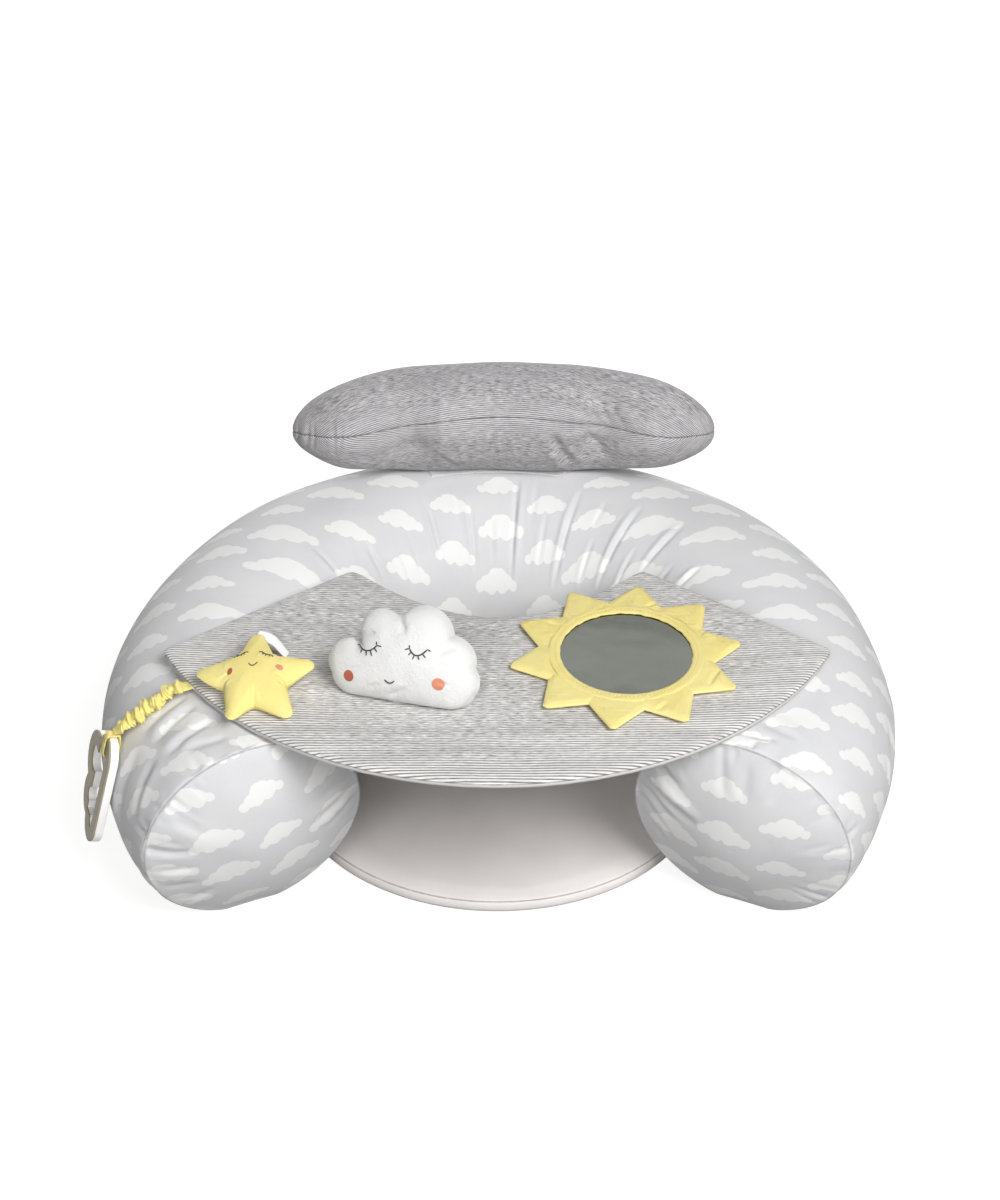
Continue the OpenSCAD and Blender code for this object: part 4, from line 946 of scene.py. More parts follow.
# hand-stuffed: its left arm hangs a little and its left leg is drawn in
lean_in = smooth((6 - star_form[..., 0]) / 34) * smooth((-star_form[..., 1] - 4) / 34)
arm_drop = smooth((-star_form[..., 0] - 14) / 26) * smooth((star_form[..., 1] + 12) / 12)
star_form[..., 0] += 9.0 * lean_in
star_form[..., 1] -= 5.5 * arm_drop
star_form[..., 2] += star_half - star_squash + star_slope * star_form[..., 1]
star_form[..., 2] = np.maximum(star_form[..., 2], 0.0)
star_ripple = 0.35 * waves(star_form[..., 0], star_form[..., 1], 81, 6, 14.0)
star_form[..., 2] += star_ripple * smooth((star_form[..., 2] - 10) / 6)
star_points = on_tray((star_form + (*star_place, toy_rest)).reshape(-1, 3))
star_faces = grid_faces(len(star_form), star_count, closed=True, flip=True)
yellow_jersey = brushed("yellow_jersey", colour(255, 235, 142), colour(255, 242, 162), 0.0007,
                        sheen_weight=0.05)
star = cloth_piece("stuffed_star", star_points, star_faces, yellow_jersey, "star", None,
                   ["star_front", "star_back", "star_filling"])


def on_surface(piece, places, way):
    """Points, in millimetres, where lines along way through places meet a piece's surface"""
    surface = surface_of(piece)
    way = Vector(way).normalized()
    back = 80.0    # how far before the place each line starts
    found = []
    for spot in np.asarray(places, float):
        start = Vector(spot * MM) - way * back * MM
        hit = surface.ray_cast(start, way)[0]
        found.append(np.array(hit) / MM if hit is not None else spot)
    return np.array(found)


def bow(points, count=9):
    """An even curve through three points"""
    a, b, c = (np.array(p, float) for p in points)
    middle = 2 * b - 0.5 * (a + c)
    t = np.linspace(0, 1, count)[:, None]
    return (1 - t) ** 2 * a + 2 * t * (1 - t) * middle + t * t * c


def sleeping_eye(arc, lash_ends):
    """A closed eye: its arc, and a short line from the arc to each lash's end"""
    line = bow(arc, 15)
    short = [np.linspace(line[np.argmin(np.linalg.norm(line - end, axis=1))], end, 3) for end in lash_ends]
    return [line] + short


stitch_width = 0.0006


def stitched(name, dark, light):
    """Embroidery thread: fine parallel stitches with a light gloss"""
    material, tree, shader, place = new_material(name, roughness=0.5, sheen_weight=0.2)
    axes = node_in(tree, "SeparateXYZ", place).outputs
    lean = calc(tree, "ADD", axes[0], calc(tree, "MULTIPLY", axes[1], 0.4))
    line = calc(tree, "SINE", calc(tree, "MULTIPLY", lean, 2 * math.pi / stitch_width))
    line = ramp(tree, line, -1.0, 1.0)
    dress(tree, shader, line, dark, light, line, 0.0002)
    return material


black_thread = stitched("black_thread", colour(28, 26, 26), colour(48, 44, 44))
coral_thread = stitched("coral_thread", colour(168, 78, 52), colour(196, 98, 68))
pale_coral_thread = stitched("pale_coral_thread", colour(224, 134, 104), colour(240, 162, 130))


def sew_face(name, toy, lines, radius, cheeks, place, way):
    """Lashes and a mouth of thread, and two satin-stitched cheeks, laid on a toy's surface from
    flat lines that a function places"""
    off = -np.array(Vector(way).normalized())
    laid = [on_surface(toy, place(line), way) + off * radius * 0.35 for line in lines]
    tubes(name + "_face_threads", laid, radius, black_thread, name)
    shares = np.linspace(0.02, 1, 5)[:, None]
    lift = 0.5 * np.sqrt(np.maximum(0.0, 1 - shares ** 3)) - 0.15
    turns = full_turn(28)
    for (cheek, centre, radii), thread in zip(cheeks, (coral_thread, pale_coral_thread)):
        flat = spots(centre[0] + shares * radii[0] * np.cos(turns),
                     centre[1] + shares * radii[1] * np.sin(turns))
        rows = on_surface(toy, place(flat.reshape(-1, 2)), way).reshape(*flat.shape[:2], 3)
        rows = rows + off * lift[..., None]
        points = np.concatenate([[rows[0].mean(axis=0)], rows.reshape(-1, 3)])
        cloth_piece(name + cheek, points, disc_faces(*flat.shape[:2]), thread, name)


def star_spot(line):
    line = np.asarray(line, float)
    return on_tray(spots(line[:, 0] + star_place[0], line[:, 1] + star_place[1], toy_rest + 2 * star_half))


star_lines = [bow(((-4.5, 3.1), (-1.2, 0.2), (2.4, 3.9)))]
star_lines += sleeping_eye(((4.3, 17.1), (7.6, 14.5), (13.1, 13.4)),
                           ((2.6, 15.6), (5.0, 13.4), (7.6, 12.0), (10.6, 11.4), (13.4, 11.4)))
star_lines += sleeping_eye(((-7.8, 17.5), (-11.5, 15.1), (-16.2, 14.6)),
                           ((-6.0, 16.4), (-8.4, 14.0), (-10.9, 12.8), (-13.8, 12.4), (-16.8, 12.6)))
down_on_tray = -tray_turn[:, 2]
sew_face("star", star, star_lines, 0.5, (("_cheek_left", (-18.9, -2.2), (2.4, 3.5)),
                                         ("_cheek_right", (19.0, 1.9), (3.3, 2.9))),
         star_spot, down_on_tray)

# folded satin ribbon, sewn by both ends into the seam of the top arm
ribbon_cloth, tree, shader, place = new_material("satin_ribbon", roughness=0.42, sheen_weight=0.2)
satin = use_group(tree, weave, Vector=place, Thread=0.0004)
dress(tree, shader, satin["Tone"], colour(238, 238, 240), colour(248, 248, 249), satin["Height"], 0.00004)
ribbon_w = 10.2
ribbon_t = 0.3
ribbon_base = np.array([star_place[0] + 1, star_place[1] + star_r + 5, toy_rest])
ribbon_turn = math.radians(-15)
ribbon_line = np.array([(-2, 7.8), (2, 9.4), (7, 11.0), (12, 10.4), (16, 7.2), (20, 3.0), (22.0, 1.2),
                        (22.2, 0.6), (21, 1.2), (16, 5.9), (12, 9.4), (6, 9.8), (-2, 7.4)], float)
coarse_way, fine_way = np.linspace(0, 1, len(ribbon_line)), np.linspace(0, 1, 70)
ribbon_xz = spots(*[np.interp(fine_way, coarse_way, ribbon_line[:, k]) for k in (0, 1)])
for _ in range(3):    # eased, so that it bends like cloth
    ribbon_xz[1:-1] = (ribbon_xz[:-2] + 2 * ribbon_xz[1:-1] + ribbon_xz[2:]) / 4
ribbon_rows = []
for share in np.linspace(0, 1, 7):
    x = ribbon_xz[:, 0]
    y = (0.5 - share) * ribbon_w - ribbon_w / 2 + 0.05 * x * (share - 0.5)
    z = ribbon_xz[:, 1] + 0.25 * np.sin(x / 4.0 + 3 * share)
    z = np.maximum(z + star_r * star_slope * (23 - x) / 23, 0.4)
    planar = spots(x * math.cos(ribbon_turn) - y * math.sin(ribbon_turn),
                   x * math.sin(ribbon_turn) + y * math.cos(ribbon_turn), z)
    ribbon_rows.append(planar + ribbon_base)
ribbon_points = on_tray(np.array(ribbon_rows).reshape(-1, 3))
ribbon = cloth_piece("star_ribbon_tag", ribbon_points, grid_faces(7, 70), ribbon_cloth, "star",
                     None, ["star_ribbon"])
thicken = ribbon.modifiers.new("thickness", "SOLIDIFY")
thicken.thickness = ribbon_t * MM
thicken.offset = 0.0

# ==== cloud ====
# A stuffed toy of white fleece with round lobes, flat where it stands, leaning back, with a
# sewn sleeping face and two stitched cheeks.
cloud_place = (-75.0, -103.5)
cloud_w = 122.0
cloud_half = 22.0
cloud_lean = math.radians(27)
cloud_yaw = math.radians(-14)
cloud_mid = 0.29 * cloud_w
cloud_flat = 0.32 * cloud_w
cloud_squash = 4.0
cloud_lobes = ((-0.35, 0.215, 0.15), (-0.165, 0.44, 0.14), (0.115, 0.45, 0.19), (0.30, 0.31, 0.165),
               (0.365, 0.19, 0.135), (-0.32, 0.15, 0.15), (0.33, 0.15, 0.15), (0.0, 0.3, 0.26))


def cloud_edge(t):
    """Distance from the toy's middle to its edge: the furthest of its lobes, or its flat foot"""
    far = 0.0
    for across, up, radius in cloud_lobes:
        x, y, r = across * cloud_w, up * cloud_w - cloud_mid, radius * cloud_w
        along, off = x * math.cos(t) + y * math.sin(t), y * math.cos(t) - x * math.sin(t)
        if abs(off) < r:
            far = max(far, along + math.sqrt(r * r - off * off))
    if math.sin(t) < -0.1 and abs(math.cos(t) / math.sin(t)) * cloud_mid < cloud_flat:
        far = max(far, -cloud_mid / math.sin(t))
    return far


def cloud_points_at(u, v, w):
    """A point of the toy (across, up and out of its face) in the tray's own plane"""
    back = v * math.sin(cloud_lean) - w * math.cos(cloud_lean)
    up = v * math.cos(cloud_lean) + w * math.sin(cloud_lean) - cloud_squash
    x = u * math.cos(cloud_yaw) - back * math.sin(cloud_yaw) + cloud_place[0]
    y = u * math.sin(cloud_yaw) + back * math.cos(cloud_yaw) + cloud_place[1]
    return spots(x, y, np.maximum(up, 0.0) + toy_rest)


# Creases between the lobes: [from, to, half width, depth, ridge]
cloud_creases = [((-7.5, 34.0), (4.0, 20.0), 3.0, 2.2, 0.5), ((-46.0, 12.0), (-33.0, 3.0), 2.2, 2.4, 0.6),
                 ((-40.0, 14.0), (-20.0, 20.0), 2.0, 1.6, 0.5), ((42.0, 16.0), (30.0, 12.0), 2.0, 1.6, 0.5),
                 ((-8.0, -30.0), (10.0, -18.0), 2.2, 1.5, 0.5),
                 ((-22.0, -26.0), (-12.0, -18.0), 2.0, 1.0, 0.5),
                 ((-42.0, -14.0), (-30.0, -8.0), 1.6, 0.9, 0.5),
                 ((44.0, -14.0), (30.0, -10.0), 1.6, 0.9, 0.5)]
cloud_levels, cloud_count = 40, 300
cloud_form = stuffed(cloud_edge, cloud_count, cloud_levels, cloud_half * 1.03, 1.2, 0.5, cloud_creases)
cloud_ripple = 0.45 * waves(cloud_form[..., 0], cloud_form[..., 1], 91, 7, 22.0)
cloud_form[..., 2] += cloud_ripple * smooth(np.abs(cloud_form[..., 2]) / 8)
across, upward, outward = np.moveaxis(cloud_form.reshape(-1, 3), 1, 0)
cloud_points = on_tray(cloud_points_at(across, upward + cloud_mid, outward))
white_fleece = brushed("white_fleece", colour(229, 229, 227), colour(237, 237, 236), 0.0008,
                       sheen_weight=0.2)
cloud_faces = grid_faces(len(cloud_form), cloud_count, closed=True, flip=True)
cloud = cloth_piece("stuffed_cloud", cloud_points, cloud_faces, white_fleece, "cloud", None,
                    ["cloud_front", "cloud_back", "cloud_filling"])


def cloud_spot(line):
    line = np.asarray(line, float)
    return on_tray(cloud_points_at(line[:, 0], line[:, 1], cloud_half + 20))


facing = on_tray(cloud_points_at(0.0, cloud_mid, np.array([40.0, 20.0])))
into_cloud = facing[1] - facing[0]
cloud_lines = [bow(((-9.4, 20.0), (-5.3, 17.8), (-1.5, 20.2)))]
cloud_lines += sleeping_eye(((-33.9, 42.2), (-25.7, 39.8), (-18.3, 45.2)),
                            ((-36.3, 41.7), (-31.5, 37.1), (-25.9, 36.1), (-21.2, 36.6), (-17.5, 40.3),
                             (-14.4, 45.1), (-19.2, 48.0)))
cloud_lines += sleeping_eye(((7.9, 47.1), (14.2, 42.5), (21.7, 48.2)),
                            ((4.6, 45.9), (7.5, 49.7), (7.8, 42.1), (11.3, 39.2), (16.3, 39.5),
                             (21.1, 41.7), (24.4, 46.9)))
sew_face("cloud", cloud, cloud_lines, 0.62, (("_cheek_left", (-39.3, 17.5), (4.8, 5.2)),
                                             ("_cheek_right", (32.6, 22.5), (5.6, 5.5))),
         cloud_spot, into_cloud)

# ==== sun ====
# Padded petals of yellow cotton, stitched along their edge, round an acrylic mirror that a
# bound and top-stitched band of the same cloth holds in.
sun_place = (102.0, -52.0)
sun_r = 93.0
sun_valley = 0.755 * sun_r
sun_first = 81.0
half_ray = math.pi / 10
mirror_r = 53.0
sun_thick = 4.6
band_w = 8.5


def sun_edge(t):
    """Distance to the edge of the petals: straight flanks between tips and valleys"""
    m = abs((t - math.radians(sun_first) + half_ray + 20 * math.pi) % (2 * half_ray) - half_ray)
    tip = sun_r + 3
    line = tip * sun_valley * math.sin(half_ray) / (tip * math.sin(m) + sun_valley * math.sin(half_ray - m))
    return min(line, sun_r - 0.02 * (m / 0.03) ** 2) if m < 0.05 else line


# Folds of the petals: [from, to, half width, depth, ridge]
sun_folds = [((82, -2), (60, -46), 2.2, 1.9, 0.7), ((70, 40), (60, 22), 1.8, 1.4, 0.6),
             ((84, 24), (66, 30), 2.2, 1.0, -0.5), ((32, 70), (18, 60), 1.6, 1.2, 0.6),
             ((17, -75), (30, -62), 1.8, 1.0, 0.5), ((-66, 44), (-52, 34), 2.0, 0.9, 0.5),
             ((-20, 72), (-12, 60), 1.6, 0.9, 0.6), ((76, -22), (70, -40), 1.6, 1.1, -0.5)]
sun_count = 600
sun_angles = full_turn(sun_count)
sun_rim = np.array([sun_edge(t) for t in sun_angles])
petal_shares = 1 - np.linspace(1, 0, 30) ** 1.5
petal_inner = mirror_r + 3.0
radius = petal_inner + (sun_rim - petal_inner) * petal_shares[:, None]
x, y = radius * np.cos(sun_angles), radius * np.sin(sun_angles)
flank_slant = 0.62      # a petal's edge lies nearer than it does along the radius
from_edge = (sun_rim - radius) * flank_slant
ripple = 0.45 * waves(x, y, 101, 8, 26.0) + 0.15 * waves(x, y, 102, 6, 9.0)
for start, end, width, depth, ridge in sun_folds:
    ripple = ripple + fold(x, y, start, end, width, depth, ridge)
puff = (1 - np.exp(-from_edge / 1.4)) * (sun_thick / 2 + 0.5 + ripple * smooth(from_edge / 4))
stitch_line = 0.35 * bell(from_edge - 2.2, 0.7)
# a faint crease from each valley towards the mirror
m = np.abs((sun_angles - math.radians(sun_first) + 20 * math.pi) % (2 * half_ray) - half_ray)
crease = 0.4 * bell(m * radius, 1.6) * smooth((from_edge - 1) / 3) * smooth((radius - 60) / 6)
petals_above = spots(x, y, sun_thick / 2 + puff - stitch_line - crease)
petals_below = spots(x, y, sun_thick / 2 * np.exp(-from_edge))[::-1][1:]
middle_radii = petal_inner * np.array([0.7, 0.35, 0.5 / petal_inner])[:, None]
sun_middle = spots(middle_radii * np.cos(sun_angles), middle_radii * np.sin(sun_angles),
                   np.zeros((3, sun_count)))
sun_grid = np.concatenate([petals_above, petals_below, sun_middle]) + (*sun_place, toy_rest)
sun_points = on_tray(sun_grid.reshape(-1, 3))
sun_faces = grid_faces(len(sun_grid), sun_count, closed=True, flip=True)
last_row = (len(sun_grid) - 1) * sun_count
sun_faces.append([last_row + i for i in range(sun_count)])
yellow_cotton = brushed("yellow_cotton", colour(255, 235, 144), colour(255, 242, 164), 0.0006,
                        sheen_weight=0.05)
petals = cloth_piece("sun_petals", sun_points, sun_faces, yellow_cotton, "sun", None,
                     ["sun_front", "sun_back", "sun_padding"])

# the band round the mirror: a rolled inner edge, a flat band and its outer seam
band_section = [(0.9, 3.9), (-0.6, 4.1), (-0.5, 4.6), (0.6, 5.2), (2.2, 5.6), (3.6, 5.3), (5.0, 5.7),
                (7.0, 5.8), (band_w, 5.5), (band_w + 0.5, 5.0), (band_w - 0.4, 4.2), (3.4, 3.7)]
band_count = 240
band_angles = full_turn(band_count)
band_rows = []
for outward, height in band_section:
    radius = mirror_r + outward
    wobble = 0.15 * np.sin(band_angles * 23 + radius) + 0.12 * np.sin(band_angles * 41 + 2 * radius)
    band_rows.append(spots(sun_place[0] + (radius + wobble) * np.cos(band_angles),
                           sun_place[1] + (radius + wobble) * np.sin(band_angles),
                           toy_rest + height + wobble))
band_faces = grid_faces(len(band_rows), band_count, closed=True, looped=True)
band = cloth_piece("mirror_band", on_tray(np.array(band_rows).reshape(-1, 3)), band_faces, yellow_cotton,
                   "sun", None, ["mirror_binding"])
yellow_thread = stitched("yellow_thread", colour(226, 200, 92), colour(244, 222, 118))
band_stitches = []
stitch_r = mirror_r + 3.6
stitch_turn = 3.2 / stitch_r    # a stitch and the gap after it
for i in range(int(2 * math.pi / stitch_turn)):
    turn = np.linspace(i * stitch_turn, (i + 0.68) * stitch_turn, 3)
    band_stitches.append(on_tray(spots(sun_place[0] + stitch_r * np.cos(turn),
                                       sun_place[1] + stitch_r * np.sin(turn),
                                       toy_rest + np.array([5.2, 5.5, 5.2]))))
tubes("mirror_band_stitches", band_stitches, 0.32, yellow_thread, "sun")

mirror_glass, tree, shader, place = new_material("acrylic_mirror", metallic=1.0)
tone = use_group(tree, cloudy, Vector=place, Scale=9.0)
feed(tree, shader.inputs["Roughness"], ramp(tree, tone["Grain"], 0.2, 0.8, 0.05, 0.07))
# painted reflection: the dark grey-green is darker than a real mirror and stands in for the dim room that it
# reflects
dress(tree, shader, tone["Tone"], colour(130, 133, 125), colour(142, 145, 137), tone["Tone"], 0.00015)
finish_nodes(mirror_glass, "mirror", "mirror_disc")

# ==== strap and teether ====
# Yellow jersey gathered over elastic, sewn flat into the tray's edge; its end is a flat loop
# through the teether, a white moulding with a soft taupe face.
strap_phi = math.radians(-108.5)
strap_out = np.array([math.sin(strap_phi), math.cos(strap_phi), 0.0])
strap_across = np.array([-math.cos(strap_phi), math.sin(strap_phi), 0.0])
strap_r = float(tube_r(math.degrees(strap_phi)))
strap_zc = strap_r - floor_sag
strap_w = 14.0
strap_t = 6.0           # room that the strap has over the ring
strap_full = 11.5       # its thickness where it is fullest
strap_gap = 2.4         # air between the ring and that room
puffs = 7
tab_low, tab_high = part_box("strap_tab")
strap_edge_z = 0.5 * (tab_low.z + tab_high.z) / MM
tab_end = float(np.dot(np.array([v.co for v in nodes["strap_tab"].data.vertices]), strap_out).max()) / MM
hug_r = strap_r + strap_gap + strap_t / 2
pivot = np.array(next(j["pos_m"] for j in frame["joints"] if j["name"] == "teether_swing")) / MM


def beside_ring(spot, way, lift, across):
    """Points of a strap's section: lift stands off its path, which runs out and down by the ring"""
    out, up = spot[0] - way[1] * lift, spot[1] + way[0] * lift
    return out[:, None] * strap_out + across[:, None] * strap_across + up[:, None] * (0.0, 0.0, 1.0)


strap_route = [(tab_end + 1.4, strap_edge_z), (tab_end + 8.0, strap_edge_z - 1.5)]
strap_route += [(ring_r + hug_r * math.sin(math.radians(a)), strap_zc + hug_r * math.cos(math.radians(a)))
                for a in (22, 27, 32, 37, 42)]
strap_route = np.array(strap_route + [(float(np.dot(pivot, strap_out)), pivot[2])])
lengths = np.append(0, np.cumsum(np.linalg.norm(np.diff(strap_route, axis=0), axis=1)))
strap_length = lengths[-1]
strap_rings, strap_sides = 300, 36
turn = full_turn(strap_sides)
strap_rows = []
for f in np.linspace(0, 1, strap_rings):
    s = f * strap_length
    spot, ahead, behind = (np.array([np.interp(t, lengths, strap_route[:, k]) for k in (0, 1)])
                           for t in (s, s + 4, s - 4))
    way = (ahead - behind) / np.linalg.norm(ahead - behind)
    tie = float(smooth(min(f * 14, (1 - f) * 7)))
    # each gather swells at its own time round the strap, so that the puffs look crumpled
    beat = puffs * f + 0.16 * math.sin(9.0 * f + 1.0)
    stagger = 1.1 * np.sin(turn * 2 + 5.1 * beat) + 0.5 * np.sin(turn * 3 - 7.0 * f)
    puff = (0.5 - 0.5 * np.cos(2 * math.pi * beat + stagger)) ** 0.75
    crumple = 1 + 0.07 * tie * np.sin(2 * math.pi * s / 2.7 + 2.4 * np.sin(turn * 2 + 1.7 * beat) + turn)
    width = strap_w / 2 * (0.64 + 0.54 * puff * tie) * crumple
    thick = strap_full / 2 * (0.16 + 0.84 * tie * (0.36 + 0.64 * puff)) * crumple
    sway = tie * 1.9 * math.sin(math.pi * beat)
    across = width * np.cos(turn) + sway
    lift = thick * np.sin(turn) + tie * (strap_full - strap_t) / 2
    strap_rows.append(beside_ring(spot, way, lift, across))
strap_grid = np.array(strap_rows)
strap_points = np.concatenate([[strap_grid[0].mean(axis=0)], strap_grid.reshape(-1, 3),
                               [strap_grid[-1].mean(axis=0)]])
tail = 1 + (strap_rings - 1) * strap_sides
strap_faces = fan(0, 1, strap_sides, flip=True) + grid_faces(strap_rings, strap_sides, closed=True, start=1)
strap_faces += fan(len(strap_points) - 1, tail, strap_sides)
strap_jersey = brushed("strap_jersey", colour(255, 236, 140), colour(255, 244, 160), 0.0007,
                       sheen_weight=0.05)
cloth_piece("gathered_strap", strap_points, strap_faces, strap_jersey, "strap", None,
            ["strap_cover"])


def soft_band(name, path, half_widths, thickness, body, stands_for, looped=False):
    """A flat double band of the strap's jersey along a path in the upright plane through it"""
    path, sides = np.asarray(path, float), 20
    way = (np.roll(path, -1, axis=0) - np.roll(path, 1, axis=0)) if looped else np.gradient(path, axis=0)
    way /= np.linalg.norm(way, axis=1)[:, None]
    section = full_turn(sides)
    wide = np.sign(np.cos(section)) * np.abs(np.cos(section)) ** 0.6
    deep = np.sin(section) * (1 + 0.25 * np.abs(np.cos(section)) ** 6)
    rows = []
    for i, spot in enumerate(path):
        crease = 0.35 * np.sin(wide * 4.0 + 0.5 * i)
        lift = thickness / 2 * deep + crease * (1 - wide ** 2)
        rows.append(beside_ring(spot, way[i], lift, half_widths[i] * wide))
    points = np.array(rows).reshape(-1, 3)
    faces = grid_faces(len(rows), sides, closed=True, looped=looped)
    if not looped:
        last = len(points) - sides
        faces += fan(len(points), 0, sides, flip=True) + fan(len(points) + 1, last, sides)
        points = np.concatenate([points, [points[:sides].mean(axis=0)], [points[last:].mean(axis=0)]])
    cloth_piece(name, points, faces, strap_jersey, body, None, stands_for)


# the flat end that is caught in the tray's seam, and the loop that the teether hangs in
tab_path = [(tab_end - 9.0 + s, strap_edge_z + 0.3 * math.sin(s / 2.2)) for s in np.linspace(0, 12.5, 26)]
soft_band("strap_sewn_end", tab_path, np.linspace(5.4, 6.4, 26), 1.5, "tray", ["strap_tab"])
lean_a = math.radians(74)
lean_out = np.array([math.sin(lean_a), math.cos(lean_a)])
lean_down = np.array([math.cos(lean_a), -math.sin(lean_a)])
loop_off, loop_up = 5.0, 29.65    # from the ring's side out, and up along the way it hangs
loop_middle = np.array([ring_r, strap_zc]) + lean_out * (strap_r + loop_off) - lean_down * loop_up
loop_path, loop_half = [], []
for t in full_turn(72):
    down = 10.1 * math.copysign(abs(math.cos(t)) ** 0.42, math.cos(t))
    out = 5.8 * math.copysign(abs(math.sin(t)) ** 0.42, math.sin(t))
    loop_path.append(loop_middle + lean_down * down + lean_out * out)
    loop_half.append(4.2 + 0.5 * math.sin(t * 3) - 0.3 * math.cos(t))
soft_band("strap_end_loop", loop_path, loop_half, 1.5, "teether", ["strap_loop"], True)


def softened(name, node, width, material, body):
    """A copy of a packed moulding with its edges rounded, in the moulding's place"""
    form = bmesh.new()
    form.from_mesh(nodes[node].data)
    bmesh.ops.remove_doubles(form, verts=form.verts, dist=0.00001)
    bmesh.ops.dissolve_limit(form, angle_limit=math.radians(1), verts=form.verts, edges=form.edges)
    sharp_from = math.radians(50)
    sharp = [e for e in form.edges if len(e.link_faces) == 2 and e.calc_face_angle() > sharp_from]
    bmesh.ops.bevel(form, geom=sharp, offset=width * MM, segments=4, profile=0.5, affect="EDGES",
                    clamp_overlap=True)
    mesh = bpy.data.meshes.new(name)
    form.to_mesh(mesh)
    form.free()
    mesh.materials.clear()
    mesh.materials.append(material)
    mesh.polygons.foreach_set("material_index", [0] * len(mesh.polygons))
    mesh.polygons.foreach_set("use_smooth", [True] * len(mesh.polygons))
    piece = bpy.data.objects.new(name, mesh)
    scene.collection.objects.link(piece)
    weighted = piece.modifiers.new("even_shading", "WEIGHTED_NORMAL")
    weighted.keep_sharp = True
    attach(piece, body)
    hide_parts(node)


white_moulding = moulded("teether_white", colour(244, 243, 240), colour(250, 249, 247), 0.36, 0.00002)
taupe_moulding = moulded("teether_taupe", colour(146, 138, 116), colour(154, 146, 124), 0.5, 0.00003)
softened("teether_rim", "teether_body", 1.5, white_moulding, "teether")
softened("teether_front", "teether_face", 0.5, taupe_moulding, "teether")

# ==== head pillow ====
# A long stuffed pillow of marled jersey whose ends bend forward, seamed round its middle and
# held on the crest of the ring by tape.
pillow_x, pillow_y = 5.0, ring_r + 19.0
pillow_l, pillow_d, pillow_h = 376.0, 104.0, 97.0
pillow_bend = 25.0
pillow_power = 3.1
pillow_gap = 2.1
pillow_squash = 6.0
pillow_z = 2 * tube_back_r - floor_sag + pillow_gap + pillow_h / 2 - pillow_squash
# Folds of its front: [from, to, half width, depth, ridge]
pillow_folds = [((40, -6), (66, -66), 4.6, 5.6, -0.4), ((70, -6), (98, -50), 4.6, 1.6, -0.4),
                ((-64, -34), (-34, -60), 3.4, 1.4, 0.5), ((94, 34), (108, 2), 3.2, 1.6, 0.5),
                ((86, 30), (98, 4), 2.8, 1.2, -0.5), ((-106, 28), (-92, 2), 3.2, 1.2, -0.5)]


def ring_top_z(x, y, off):
    """Height of the ring's upper surface, moved out by off, over a point of the plan"""
    r = tube_r(np.degrees(np.arctan2(x, y)))
    d = np.hypot(x, y) - ring_r
    reach = r + off
    return np.where(np.abs(d) < reach, r - floor_sag + np.sqrt(np.maximum(reach ** 2 - d ** 2, 0)), 0.0)


pillow_count = 560
turn = full_turn(pillow_count)
side_rows = []
# its upper half, from the top out to the seam
for level in 1 - np.linspace(1, 0, 64) ** 2.6:
    level = max(level, 0.0005)
    u = pillow_l / 2 * np.sign(np.cos(turn)) * (level * np.cos(turn) ** 2) ** (1 / pillow_power)
    v = pillow_d / 2 * math.sqrt(level) * np.sin(turn)
    side_rows.append(spots(u, v, pillow_h / 2 * (1 - level) ** 0.52))
pillow_form = both_sides(np.array(side_rows))
u, v, h = np.moveaxis(pillow_form, -1, 0)
swell = 1.2 * waves(u, h + v, 111, 8, 90.0) - 1.5 * notch(np.abs(h))
front = smooth(-v / 20)
# the ends turn forward: each swells in front, with a dip between it and the middle
swell = swell + front * bell(h, 36) * (7.0 * bell(np.abs(u) - 140, 25)
                                       - 9.5 * bell(np.abs(u) - 88, 22)
                                       - 4.5 * bell(u - 84, 17))
girth = 0.25 * (pillow_d + pillow_h) * np.arctan2(h * pillow_d, np.abs(v) * pillow_h + 1e-6)
swell = swell - front * 9.0 * bell(np.abs(u) - 78, 20) * bell(girth + 34, 22)
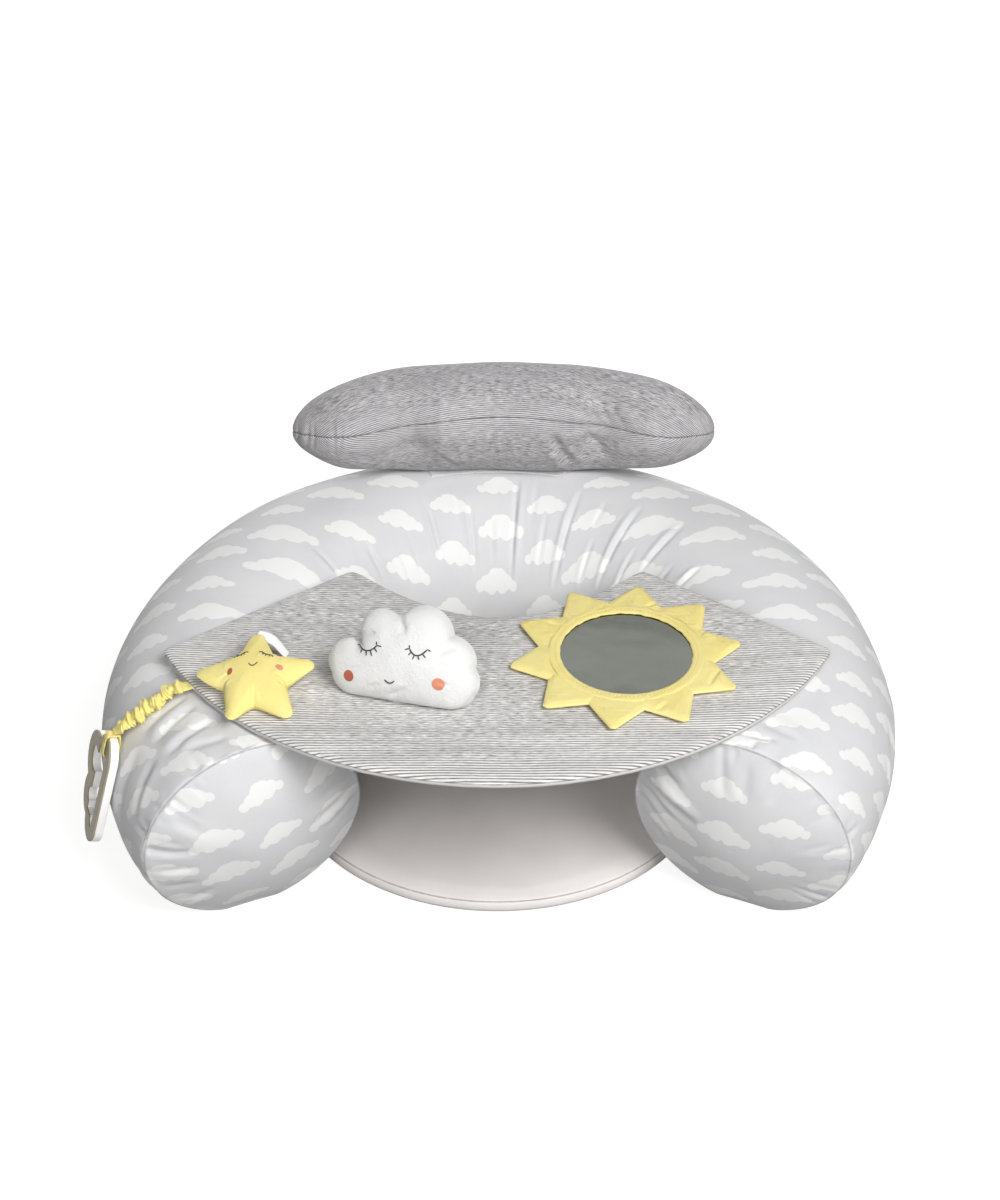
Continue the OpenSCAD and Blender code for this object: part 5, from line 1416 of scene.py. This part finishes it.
# gathers at the seam: [place along the pillow, depth], many faint ones and then the deep ones
draw = np.random.default_rng(17)
pleats = [(draw.uniform(-185, 185), draw.uniform(0.3, 0.9)) for _ in range(54)]
pleats += [(-147, 1.8), (-141, 1.5), (-166, 1.3), (-172, 1.2), (101, 1.7), (107, 1.4), (137, 1.8),
           (118, 0.9), (-96, 1.0), (166, 1.3)]
for at, deep in pleats:
    width = draw.uniform(1.3, 2.6)
    gap = u - at + 0.12 * h * draw.uniform(-1, 1)
    in_front = deep > 0.95 or draw.uniform() > 0.4
    # the gathers are short and shallow along the middle
    near_end = 0.4 + 0.6 * smooth((abs(at) - 80) / 50)
    long = near_end * draw.uniform(7, 15)
    gather = deep * near_end * bell(gap, width) * bell(np.abs(h), long)
    swell = swell - gather * (front if in_front else 1 - front)
for start, end, width, depth, ridge in pillow_folds:
    swell = swell + fold(u, girth, start, end, width, depth, ridge, 0.3) * front
away = spots(u / (pillow_l / 2) ** 2, v / (pillow_d / 2) ** 2, h / (pillow_h / 2) ** 2)
away /= np.linalg.norm(away, axis=-1)[..., None] + 1e-9
moved = pillow_form + away * swell[..., None]
# it has rolled back, most in the middle, so that its seam lies higher in front
roll = np.radians(12 + 15 * (1 - smooth(np.abs(u) / 160)))
back = moved[..., 1] * np.cos(roll) + moved[..., 2] * np.sin(roll)
rise = moved[..., 2] * np.cos(roll) - moved[..., 1] * np.sin(roll)
x = pillow_x + moved[..., 0]
y = pillow_y + back - pillow_bend * (2 * moved[..., 0] / pillow_l) ** 2
z = np.maximum(pillow_z + rise, ring_top_z(x, y, pillow_gap))
pillow_jersey = knitted("pillow_jersey", colour(96, 92, 94), colour(218, 216, 218), 0.0019, 0.4, 0.95,
                        (0.003, 0.024))
# both panels are cut flat, with stripes along them, so the stripes meet in points at the seam
narrowing = np.sqrt(np.clip(1 - np.abs(2 * u / pillow_l) ** pillow_power, 0, 1))
side_turn = np.arctan2(np.abs(v) * pillow_h, np.abs(h) * pillow_d + 1e-6)
half_girth = 0.25 * (pillow_d + pillow_h) * narrowing * side_turn
# the third place, the distance from the seam, sets the marl and where painted shade darkens the jersey along
# the seam
pillow_flat = spots(u * 1.1, half_girth * np.sign(v), np.abs(h)).reshape(-1, 3)
pillow_points = spots(x, y, z).reshape(-1, 3)
pillow_last = len(pillow_points) - pillow_count
pillow_faces = grid_faces(len(pillow_form), pillow_count, closed=True, flip=True)
pillow_faces += fan(len(pillow_points), 0, pillow_count)
pillow_faces += fan(len(pillow_points) + 1, pillow_last, pillow_count, flip=True)
pillow_points, pillow_flat = (np.concatenate([rows, [rows[:pillow_count].mean(axis=0)],
                                              [rows[pillow_last:].mean(axis=0)]])
                              for rows in (pillow_points, pillow_flat))
pillow = cloth_piece("head_pillow", pillow_points, pillow_faces, pillow_jersey, "pillow",
                     pillow_flat, ["pillow_top", "pillow_base", "pillow_filling"])
